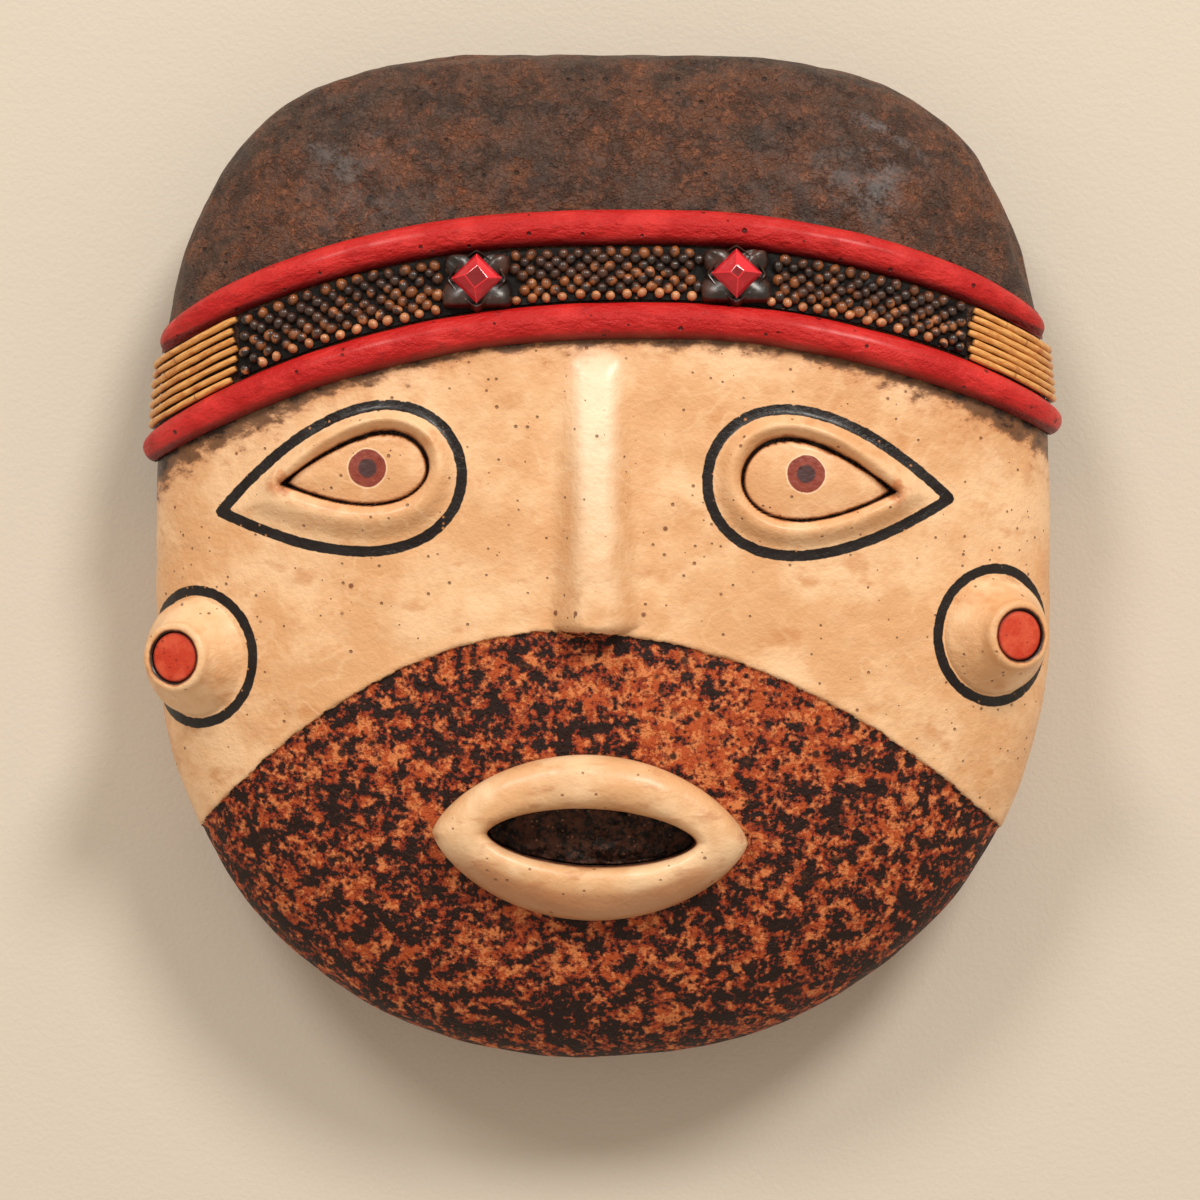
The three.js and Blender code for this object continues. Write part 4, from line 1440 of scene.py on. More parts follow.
@dataclass(frozen=True)
class CarvedShell:
    """The one carved piece: shell, cap, nose, eyes and knobs, hollow behind."""

    cells: int = 202
    hollow_cells: int = 92
    nose: Nose = Nose()
    left_eye: Eye = Eye(
        outline=Teardrop(x=-64.4, y=16.5, half_length=30.3, half_height=17.6, towards=191.4),
        opening=Teardrop(x=-60.5, y=20.4, half_length=18.8, half_height=9.8, towards=190.3),
        iris_x=-57.5,
        iris_y=20.9,
    )
    right_eye: Eye = Eye(
        outline=Teardrop(x=55.2, y=16.4, half_length=29.9, half_height=17.8, towards=-5.2),
        opening=Teardrop(x=52.5, y=17.8, half_length=19.4, half_height=11.0, towards=-8.1),
        iris_x=49.4,
        iris_y=19.4,
    )
    knobs: tuple[Knob, ...] = (
        Knob(side=-1, set_in=12.0, y=-25.3, lean=24.0),
        Knob(side=1, set_in=15.5, y=-19.9, lean=26.0),
    )
    border_crest: float = -19.0
    border_x: float = -10.0
    border_drop: float = 47.8
    border_span_left: float = 90.0
    border_span_right: float = 108.0
    border_step: float = 0.8

    @property
    def eyes(self) -> tuple[Eye, Eye]:
        """Both eyes."""
        return self.left_eye, self.right_eye

    def border(self, plan: Values) -> Values:
        """Returns how far points lie above the line between the tan face and the mottled chin."""
        across = plan[:, 0] - self.border_x
        span = np.where(across < 0, self.border_span_left, self.border_span_right)
        line = self.border_crest - self.border_drop * (across / span) ** 2
        slope = 2 * self.border_drop * across / span**2
        gap = (plan[:, 1] - line) / np.hypot(1, slope)
        flat = with_height(plan)
        near = np.abs(gap) < 12
        ragged = np.zeros(len(plan))
        ragged[near] = 0.35 * ripple(flat[near], 6.0, 1) + 0.2 * ripple(flat[near], 2.0, 2)
        return gap + ragged

    def spread(self, bm: bmesh.types.BMesh) -> tuple[Values, Values, Values]:
        """Reads the square sheet's corners as spots of a round one.

        Args:
            bm: a sheet from -1 to 1 whose wall steps are stored as negative heights.

        Returns:
            The angle, the share of the section from the crown, and the wall step of each corner.
        """
        spots = corners(bm)
        return *on_disc(spots), -spots[:, 2]

    def plan(self, bm: bmesh.types.BMesh) -> Values:
        """Returns the plan places of the sheet's corners."""
        angle, share, _ = self.spread(bm)
        return SHELL.skin(angle, SHELL.evenly(share))[:, :2]

    def refine(self, bm: bmesh.types.BMesh, zone: Callable[[Values], Values]) -> None:
        """Halves the cells of the sheet whose corners are in a zone of the plan."""
        wanted = zone(self.plan(bm))
        bm.verts.index_update()
        edges = [edge for edge in bm.edges if wanted[edge.verts[0].index] and wanted[edge.verts[1].index]]
        bmesh.ops.subdivide_edges(bm, edges=edges, cuts=1, use_grid_fill=True)

    def coarse_zone(self, plan: Values) -> Values:
        """Marks what is carved finely: the eyes, the nose's end and the chin's border."""
        eyes = np.any([eye.gaps(plan)[1] < 1.5 for eye in self.eyes], axis=0)
        nose = np.abs(self.nose.end_gap(plan[:, 0], plan[:, 1]) - 1) < 5
        return eyes | nose | (np.abs(self.border(plan)) < 3)

    def fine_zone(self, plan: Values) -> Values:
        """Marks what is carved most finely: the eyes' crevices and the sharp edges."""
        eyes = np.any([np.abs(eye.gaps(plan)[0] + 0.3) < 2.7 for eye in self.eyes], axis=0)
        nose = np.abs(self.nose.end_gap(plan[:, 0], plan[:, 1]) - 1) < 2.4
        return eyes | nose | (np.abs(self.border(plan)) < 0.9)

    def wall(self, bm: bmesh.types.BMesh, steps: Sequence[float]) -> list[bmesh.types.BMEdge]:
        """Grows the sheet's edge downwards by wall steps and returns its last loop of edges."""
        loop = rim_of(bm)
        for step in steps:
            loop = grow_loop(bm, loop, -step)
        return loop

    def skin_relief(self, places: Values, station: Values, angle: Values) -> Values:
        """Returns how far the hand-carved skin stands out from the plain one, never past its edge."""
        plan = places[:, :2]
        border = self.border(plan)
        step = self.border_step * (1 - smooth(border, -0.45, 0.45)) * np.exp(np.minimum(0, border) / 24)
        bead = 0.16 * np.exp(-(((border - 1.1) / 0.9) ** 2))
        cap = smooth(plan[:, 1] - BAND.y(0, plan[:, 0]), 0, 14)
        shoulder = cap * smooth(station, 0.5, 0.72) * (1 - smooth(station, 0.97, 1.15))
        along = np.stack([angle * 100, station * 130, np.zeros(len(angle))], axis=1)
        dents = ripple(along, 9.0, 7) * 0.6 + ripple(along, 4.0, 8) * 0.3
        swell = 0.36 * ripple(places, 20.0, 9) + 0.2 * ripple(places, 7.0, 10)
        wobble = swell + shoulder * dents
        rim = smooth(station, 0.82, 1.0)
        return wobble - rim * (0.45 + 0.5 * shoulder) + (bead - step) * (1 - 0.4 * rim)

    def outer(self) -> bmesh.types.BMesh:
        """Builds the carved outside as a closed sheet with a flat underside."""
        bm = bmesh.new()
        bmesh.ops.create_grid(bm, x_segments=self.cells, y_segments=self.cells, size=1)
        self.refine(bm, self.coarse_zone)
        self.refine(bm, self.fine_zone)
        loop = self.wall(bm, [*np.linspace(0.1, 1, 11), 1.25, 1.5, 1.75, 2.0])
        angle, share, down = self.spread(bm)
        tuck = np.minimum(down, 1) * (1 - SHELL.rim_rounding / SHELL.side_height)
        station = np.where(down > 0, 1 + tuck, SHELL.evenly(share))
        base = SHELL.skin(angle, station)
        normal = SHELL.normal(angle, station)
        places = base + normal * self.skin_relief(base, station, angle)[:, None]
        carving = self.nose.relief(base[:, 0], base[:, 1])
        for eye in self.eyes:
            carving = carving + eye.relief(base[:, :2]) * (down == 0)
        places[:, 2] += carving
        turn = np.maximum(0, down - 1) * math.pi / 2
        round_in = SHELL.rim_rounding * (1 - np.cos(turn)) * (down > 1)
        places[:, 0] -= np.cos(angle) * round_in
        places[:, 1] -= np.sin(angle) * round_in
        places[:, 2] = np.where(down >= 1, SHELL.rim_rounding * (1 - np.sin(turn)), places[:, 2])
        move_corners(bm, places)
        bmesh.ops.edgeloop_fill(bm, edges=loop)
        outwards(bm)
        for face in bm.faces:
            middle = face.calc_center_median()
            cap = middle.y > float(BAND.y(1.0, np.array(middle.x)))
            outside = Zone.CAP if cap else Zone.FACE
            face.material_index = Zone.WOOD.value if middle.z < 0.4 else outside.value
        return bm

    def hollow(self) -> bmesh.types.BMesh:
        """Builds what is gouged out behind, a wall's thickness inside the skin."""
        bm = bmesh.new()
        bmesh.ops.create_grid(bm, x_segments=self.hollow_cells, y_segments=self.hollow_cells, size=1)
        loop = self.wall(bm, np.linspace(0.1, 1, 9))
        angle, share, down = self.spread(bm)
        station = np.where(down > 0, 1 + down, SHELL.evenly(share))
        base = SHELL.skin(angle, station)
        scoops = np.abs(ripple(base, 9.0, 11)) * 0.7 - 0.1
        places = base - SHELL.normal(angle, station) * (SHELL.wall + scoops)[:, None]
        places[:, 2] = np.where(down >= 1, -1.0, places[:, 2])
        move_corners(bm, places)
        bmesh.ops.edgeloop_fill(bm, edges=loop)
        outwards(bm)
        return in_zone(bm, Zone.WOOD)

    def throat(self) -> bmesh.types.BMesh:
        """Builds what is cut out for the mouth, right through the wall."""
        bm = bmesh.new()
        bmesh.ops.create_circle(bm, segments=168, radius=1)
        loop = list(bm.edges)
        bmesh.ops.edgeloop_fill(bm, edges=loop)
        for step in range(1, 9):
            loop = grow_loop(bm, loop, step / 8)
        bmesh.ops.edgeloop_fill(bm, edges=loop)
        spots = corners(bm)
        plan = MOUTH_HOLE.at(polar(spots)[0])
        move_corners(bm, with_height(plan, SHELL.height(*plan.T) + blend(-18, 16, spots[:, 2])))
        outwards(bm)
        return in_zone(bm, Zone.THROAT)

    def mark(self, body: bpy.types.Object) -> None:
        """Writes what the paint follows: borders, lines, the crevices' painted shade, dirt and painted shade
        below the band and down the sides, and the nose's painted highlight.
        """
        places = places_of(body)
        plan = places[:, :2]
        record(body, "border", self.border(plan))
        outlines = [np.abs(eye.gaps(plan)[1]) for eye in self.eyes]
        rings = [knob.ring_gap(places) + 0.06 for knob in self.knobs]
        record(body, "line", np.min([*outlines, *rings], axis=0))
        # Painted shade in the eyes' grooves, slopes and corners and in the gaps round the knobs' discs.
        creases = [eye.crevice(plan) for eye in self.eyes] + [knob.shade(places) for knob in self.knobs]
        record(body, "crevice", np.max(creases, axis=0))
        record(body, "iris", np.min([eye.iris(plan) for eye in self.eyes], axis=0))
        # Dirt below the lower roll, darkest at the roll where it is painted shade, plus painted shade down
        # the sides.
        roll = BAND.y(1, plan[:, 0]) - BAND.roll_radius - plan[:, 1]
        sunk = SHELL.below_crown(places[:, 2])
        temples = smooth(np.abs(plan[:, 0]), 45, 100)
        below = np.exp(-np.maximum(0, roll) / (3.2 + 4.2 * temples)) * (roll > -6)
        side = smooth(sunk, 20, 60)
        record(body, "grime_and_shade", np.clip(below * (0.85 + 0.15 * temples) + 0.5 * side, 0, 1.3))
        clean = np.exp(-(((plan[:, 0] - 24) / 18) ** 2) - ((plan[:, 1] + 42) / 10) ** 2)
        record(body, "clean", 0.42 * clean - 0.16 * smooth(sunk, 6, 32))
        # A painted highlight along the nose's ridge, strongest near its top.
        ridge = np.exp(-(((plan[:, 0] - self.nose.x) / 5.2) ** 4))
        high = smooth(plan[:, 1], -24, 44) * (1 - smooth(plan[:, 1], 44, 54))
        record(body, "nose_highlight", 0.9 * ridge * high)

    def build(self) -> bpy.types.Object:
        """Builds the whole carved piece."""
        finishes = [finish.material() for finish in (FacePaint(), CapPitch(), BareWood(), Stuffing())]
        body = made("carved_shell", self.outer(), finishes)
        for knob in self.knobs:
            combine(body, knob.build(finishes), Joining.ADD)
        combine(body, made("hollow_cut", self.hollow(), finishes), Joining.CUT)
        combine(body, made("throat_cut", self.throat(), finishes), Joining.CUT)
        self.mark(body)
        keep_edges(body, 62)
        return settle(body, "face", "mask_body")


def settle(piece: bpy.types.Object, slot: str, *nodes: str) -> bpy.types.Object:
    """Lets a piece ride on the mask and stand for CAD nodes.

    Args:
        piece: the finished piece.
        slot: not used.
        nodes: the nodes that the piece stands for.

    Returns:
        The same piece.
    """
    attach(piece, BODY)
    if nodes:
        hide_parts(*nodes)
    LOG.info("%s: %d faces", piece.name, len(piece.data.polygons))
    return piece


@dataclass(frozen=True)
class MouthRing:
    """The raised waxed ring around the mouth."""

    height: float = 8.0
    crest_share: float = 0.34
    steps: int = 200

    def section(self) -> list[tuple[float, float]]:
        """Returns the ring's section as share across and height, from its outer foot over."""
        crest = self.crest_share
        line = []
        for i in range(15):
            turn = i / 14 * math.pi / 2
            across = 2 - (1 - crest) * (1 - math.cos(turn) ** 0.86)
            line.append((across, self.height * math.sin(turn) ** 0.86))
        for i in range(1, 11):
            turn = i / 10 * math.pi / 2
            across = 1 + crest * (1 - math.sin(turn) ** 0.9)
            line.append((across, self.height * (0.3 + 0.7 * math.cos(turn) ** 0.8)))
        return [*line, (1.0, 0.0)]

    def build(self) -> bpy.types.Object:
        """Builds the ring and marks its dirt and its painted shade."""
        bm = spun(self.section(), self.steps)
        spots = corners(bm)
        turn, radius = polar(spots)
        across = radius - 1
        plan = blend(MOUTH_HOLE.at(turn), MOUTH_RIM.at(turn), across[:, None])
        line = with_height(plan, spots[:, 2])
        swell = 0.75 * ripple(line, 12.0, 21) + 0.3 * ripple(line, 5.0, 22)
        high = spots[:, 2] / self.height
        risen = (spots[:, 2] + swell * high) * (1 - CLEARANCE / self.height)
        move_corners(bm, with_height(plan, SHELL.height(*plan.T) + CLEARANCE + risen))
        outwards(bm, merge=0)
        piece = made("waxed_mouth_ring", bm, [LipWax().material()])
        # Painted shade low on the hole's wall and on the lower outer side, a darker foot, and real dirt in
        # the right corner.
        inside_low = (1 - smooth(across, 0.0, 0.1)) * (1 - smooth(high, 0.25, 0.85))
        foot = smooth(across, 0.93, 1.0) * (1 - smooth(high, 0.05, 0.35))
        corner = np.exp(-((plan - MOUTH_HOLE.at(np.array(0.0))) ** 2).sum(axis=1) / 4.5**2)
        stain_and_shade = inside_low * 0.95 + foot * 0.85 + corner * (0.35 + 0.5 * (1 - smooth(high, 0.3, 0.9)))
        below = smooth(-np.sin(turn), 0.1, 0.8) * smooth(across, 0.3, 0.62)
        record(piece, "stain_and_shade", stain_and_shade + 0.12 * below)
        record(piece, "below", below)
        return settle(piece, "lips", "mouth_ring")


@dataclass(frozen=True)
class MouthFilling:
    """The rough dark lump that fills the mouth behind the ring."""

    recess: float = 4.2
    depth: float = 8.6

    def build(self) -> bpy.types.Object:
        """Builds the filling with its ragged front."""
        bm = bmesh.new()
        bmesh.ops.create_grid(bm, x_segments=96, y_segments=48, size=1)
        loop = grow_loop(bm, rim_of(bm), -1)
        spots = corners(bm)
        turn, share = on_disc(spots)
        edge = MOUTH_HOLE.at(turn, -CLEARANCE - 0.05)
        middle = np.array([MOUTH_HOLE.x, MOUTH_HOLE.y])
        plan = middle + (edge - middle) * share[:, None]
        flat = with_height(plan)
        lump = 1.2 * ripple(flat, 5.0, 31) + 0.9 * ripple(flat, 2.4, 32) + 0.35 * ripple(flat, 1.0, 33)
        raised = 2.2 * np.exp(-(((plan[:, 0] - 2) / 11) ** 2) - ((plan[:, 1] + 71.5) / 3) ** 2)
        front = np.minimum(-0.9, -self.recess + lump + raised)
        lift = np.where(spots[:, 2] < -0.5, -self.depth, front)
        move_corners(bm, with_height(plan, SHELL.height(*plan.T) + lift))
        bmesh.ops.edgeloop_fill(bm, edges=loop)
        outwards(bm)
        piece = made("mouth_filling", bm, [Stuffing().material()])
        return settle(piece, "stuffing", "mouth_stuffing")


@dataclass(frozen=True)
class RedRoll:
    """One thick red roll of the band, rounded at its ends and wrapped over both sides."""

    name: str
    node: str
    mix: float
    wrap: float
    end_sink: float
    sides: int = 30
    rings: int = 250
    end_rings: int = 9
    lift: float = 0.4
    end_taper: float = 0.73

    def build(self, finish: bpy.types.Material) -> bpy.types.Object:
        """Builds the roll along its line of the band."""
        path = BAND.path(self.mix, (-SHELL.beyond, SHELL.beyond), self.wrap, 180)
        radius, length = BAND.roll_radius, path.length
        bm = bmesh.new()
        bmesh.ops.create_uvsphere(bm, u_segments=self.sides, v_segments=self.rings, radius=1)
        spots = corners(bm)
        ring = np.arccos(np.clip(spots[:, 2], -1, 1)) / math.pi * self.rings
        end = np.clip(np.minimum(ring, self.rings - ring) / self.end_rings, 0, 1) * math.pi / 2
        middle = (ring - self.end_rings) / (self.rings - 2 * self.end_rings)
        inset = radius * (1 - np.cos(end))
        along = np.where(ring < self.rings / 2, inset, length - inset)
        along = np.where(end < math.pi / 2 - 1e-9, along, radius + (length - 2 * radius) * middle)
        place = np.abs(2 * along / length - 1)
        turn, _ = polar(spots)
        line = np.stack([along, np.cos(turn) * 4, np.sin(turn) * 4], axis=1)
        creases = ripple(line * [0.22, 1, 1], 1.9, 41 + self.mix) * 0.11
        swell = 1 + 0.035 * ripple(line * [1, 0.3, 0.3], 16.0, 43 + self.mix)
        taper = 1 - (1 - self.end_taper) * place**4 - 0.055 * place**20
        girth = (radius * taper * swell * 0.985 + creases) * np.sin(end)
        out = self.lift - self.end_sink * place**6 + girth * np.sin(turn)
        drift = 0.25 * ripple(line * [1, 0, 0], 30.0, 45 + self.mix)
        move_corners(bm, path.place(along, girth * np.cos(turn) + drift, np.maximum(out, CLEARANCE)))
        outwards(bm, merge=0)
        piece = made(self.name, bm, [finish])
        own = np.full(len(along), 9 * self.mix)
        record_places(piece, "strand", np.stack([along, turn * radius, own], axis=1))
        # Painted shade: darker on the roll's lower side and close to the skin.
        lower = smooth(np.cos(turn), 0.15, 0.95)
        record(piece, "under", np.clip(1 - smooth(out / radius, 0.05, 0.6) + 0.8 * lower, 0, 1))
        return settle(piece, "red_roll", self.node)


@dataclass(frozen=True)
class SeedStrip:
    """The bed of pitch between the rolls with rows of seeds pressed into it."""

    half_length: float = 89.0
    seed_radius: float = 1.43
    seed_height: float = 1.8
    columns: int = 92
    rows: int = 7
    mount_reach: float = 8.6
    seed_sides: int = 9
    seed_rings: int = 6

    def bed(self, bm: bmesh.types.BMesh) -> None:
        """Adds the pitch bed to a mesh."""
        bmesh.ops.create_grid(bm, x_segments=230, y_segments=18, size=1)
        loop = grow_loop(bm, rim_of(bm), -1)
        spots = corners(bm)
        x = spots[:, 0] * self.half_length
        margin = (BAND.roll_radius + 1.5 * CLEARANCE) / np.array([BAND.height(each) for each in x])
        y = BAND.y(blend(margin, 1 - margin, (1 - spots[:, 1]) / 2), x)
        flat = np.stack([x, y, 0 * x], axis=1)
        bumps = 0.3 * ripple(flat, 2.4, 51) + 0.15 * ripple(flat, 1.1, 52)
        out = np.where(spots[:, 2] < -0.5, CLEARANCE, STRIP_THICKNESS + bumps)
        move_corners(bm, SHELL.over(x, y, out))
        bmesh.ops.edgeloop_fill(bm, edges=loop)
        bmesh.ops.recalc_face_normals(bm, faces=bm.faces)

    def tone(self, row: int, number: int, x: float) -> float:
        """Returns a seed's tone from black at 0 to tan at 1, by its row and its place."""
        chance = 0.5 + 0.5 * scatter(number, 3)
        fleck = 0.5 + 0.5 * scatter(number, 4)
        if abs(x) > self.half_length - 3:
            return 0.04
        if row == 1:
            return 0.45 + 0.28 * chance - 0.25 * (fleck > 0.6)
        if row == 2:
            return 0.05 + 0.25 * chance
        if row == self.rows:
            return 0.74 + 0.26 * chance
        return 0.48 + 0.4 * chance if fleck < 0.05 + 0.07 * row else 0.05 + 0.38 * chance

    def under_mount(self, x: float, y: float) -> bool:
        """Tells whether a seed would stand where a stone's mount is."""
        gaps = [math.hypot(x - at, y - float(BAND.y(0.5, at))) for at in STONES_X]
        return min(gaps) < self.mount_reach + 0.9

    def seeds(self, bm: bmesh.types.BMesh) -> list[float]:
        """Adds the seeds to a mesh and returns the tone of each."""
        tones = []
        for row in range(1, self.rows + 1):
            for column in range(self.columns + 1):
                number = row * self.columns + column
                x = (column / self.columns * 2 - 1) * self.half_length
                if (row + column) % 2 or abs(x) > self.half_length - 0.8:
                    continue
                margin = (BAND.roll_radius + 1.5 * CLEARANCE) / BAND.height(x)
                y = float(BAND.y(blend(margin, 1 - margin, (row - 0.25) / (self.rows + 0.5)), x))
                if self.under_mount(x, y):
                    continue
                x += 0.35 * scatter(number, 1)
                y += 0.35 * scatter(number, 2)
                self.seed(bm, x, y, number, 0.86 if row == self.rows else 1.0)
                tones.append(self.tone(row, number, x))
        return tones

    def seed(self, bm: bmesh.types.BMesh, x: float, y: float, number: int, share: float) -> None:
        """Adds one seed, round, oval or with a small tip, standing on the skin."""
        spot = SHELL.spot(np.array([x]), np.array([y]))
        normal = Vector(SHELL.normal(*spot)[0])
        size = self.seed_radius * share * (1 + 0.09 * scatter(number, 6))
        out = STRIP_THICKNESS + self.seed_height - size
        at = Vector(SHELL.skin(*spot)[0]) + normal * out
        turn = normal.to_track_quat("Z", "Y").to_matrix().to_4x4()
        spin = Matrix.Rotation(math.pi * scatter(number, 7), 4, "Z")
        long = 1.06 + 0.1 * scatter(number, 8)
        grow = Matrix.Diagonal((size * long, size / long**0.5, size, 1))
        grown = bmesh.ops.create_uvsphere(
            bm, u_segments=self.seed_sides, v_segments=self.seed_rings, radius=1,
            matrix=Matrix.Translation(at) @ turn @ spin @ grow,
        )["verts"]
        if scatter(number, 9) > 0.35:
            tip = max(grown, key=lambda vert: (vert.co - at).dot(normal))
            tip.co += normal * 0.22 + Vector((scatter(number, 10), scatter(number, 11), 0)) * 0.15

    def build(self) -> bpy.types.Object:
        """Builds the strip as one piece of bed and seeds."""
        bm = bmesh.new()
        self.bed(bm)
        bed_corners, bed_faces = len(bm.verts), len(bm.faces)
        tones = self.seeds(bm)
        bm.faces.ensure_lookup_table()
        for face in bm.faces[bed_faces:]:
            face.material_index = 1
        each = (len(bm.verts) - bed_corners) // len(tones)
        piece = made("seeded_strip", bm, [PitchBed().material(), SeedShell().material()])
        record(piece, "tone", np.concatenate([np.zeros(bed_corners), np.repeat(tones, each)]))
        keep_edges(piece, 80)
        return settle(piece, "seeds", "seed_strip")


@dataclass(frozen=True)
class CaneBundle:
    """The split canes of one temple, side by side, bent over the shell's side."""

    side: int
    label: str
    count: int = 7
    radius: float = 0.81
    height_share: float = 1.15
    start: float = 89.3
    stagger: float = 1.5
    middle: float = 100.0
    solid_radius: float = 0.72
    roll_taper: float = 0.22
    temple_place: float = 0.85
    wrap: float = 15.0
    sides: int = 12
    rings: int = 64

    def cane(self, number: int, finish: bpy.types.Material) -> bpy.types.Object:
        """Builds one cane with its nodes and its slight bends."""
        roll = BAND.roll_radius * (1 - self.roll_taper * self.temple_place**4)
        first = (roll + self.solid_radius + CLEARANCE) / BAND.height(self.side * self.middle)
        mix = blend(first, 1 - first, number / (self.count - 1))
        inner = self.start + self.stagger * (0.5 + 0.5 * scatter(number, self.side + 5))
        ends = sorted((self.side * inner, self.side * SHELL.beyond))
        path = BAND.path(mix, (ends[0], ends[1]), self.wrap, 40)
        bm = bmesh.new()
        bmesh.ops.create_circle(bm, segments=self.sides, radius=1, cap_ends=True)
        loop = list(bm.edges)
        for ring in range(self.rings):
            loop = grow_loop(bm, loop, (ring + 1) / self.rings)
        bmesh.ops.edgeloop_fill(bm, edges=loop)
        spots = corners(bm)
        along = spots[:, 2] * path.length
        turn, _ = polar(spots)
        salt = 60 + number + 10 * self.side
        line = np.outer(along, [1, 0, 0])
        joints = path.length * np.array([0.3 + 0.14 * scatter(salt, 12), 0.66 + 0.14 * scatter(salt, 13)])
        node = np.exp(-(((along[:, None] - joints) / 0.35) ** 2)).max(axis=1)
        girth = self.radius * (1 + 0.16 * ripple(line, 5.5, salt + 1) + 0.06 * node)
        end = np.minimum(spots[:, 2], 1 - spots[:, 2]) * self.rings
        girth = girth * np.where(end < 0.5, 0.8, 1.0)
        bend = 0.16 * ripple(line, 6.0, salt + 2)
        flat = np.abs(np.cos(turn)) ** 0.8 * np.sign(np.cos(turn))
        out = self.radius * self.height_share + CLEARANCE * 1.2 + girth * self.height_share * np.sin(turn)
        out += 0.18 * ripple(line, 8.0, salt + 3)
        places = path.place(along, girth * flat + bend, np.maximum(out, CLEARANCE))
        move_corners(bm, places)
        outwards(bm, merge=0)
        piece = made(f"split_cane_{self.label}_{number + 1}", bm, [finish])
        own = np.full(len(along), float(number))
        record_places(piece, "strand", np.stack([along + 40 * number, turn * self.radius, own], axis=1))
        # Painted shade on the side of the cane that faces the skin.
        record(piece, "under", 1 - smooth(np.sin(turn), -0.4, 0.55))
        record(piece, "node", node)
        keep_edges(piece, 55)
        return settle(piece, "cane", f"cane_{self.label}_{number + 1}")

    def build(self, finish: bpy.types.Material) -> list[bpy.types.Object]:
        """Builds every cane of the bundle."""
        return [self.cane(number, finish) for number in range(self.count)]


@dataclass(frozen=True)
class PetalForm:
    """The size and the shape of one kind of petal."""

    length: float
    width: float
    height: float
    softness: float
    flare: float
    ridge: float
    lean: float
    fold: float


UPPER_PETAL = PetalForm(4.8, 4.0, 3.7, softness=0.9, flare=0.12, ridge=0.16, lean=0.12, fold=0.55)
LOWER_PETAL = PetalForm(5.7, 5.2, 3.6, softness=0.76, flare=0.32, ridge=0.45, lean=-0.1, fold=0.0)


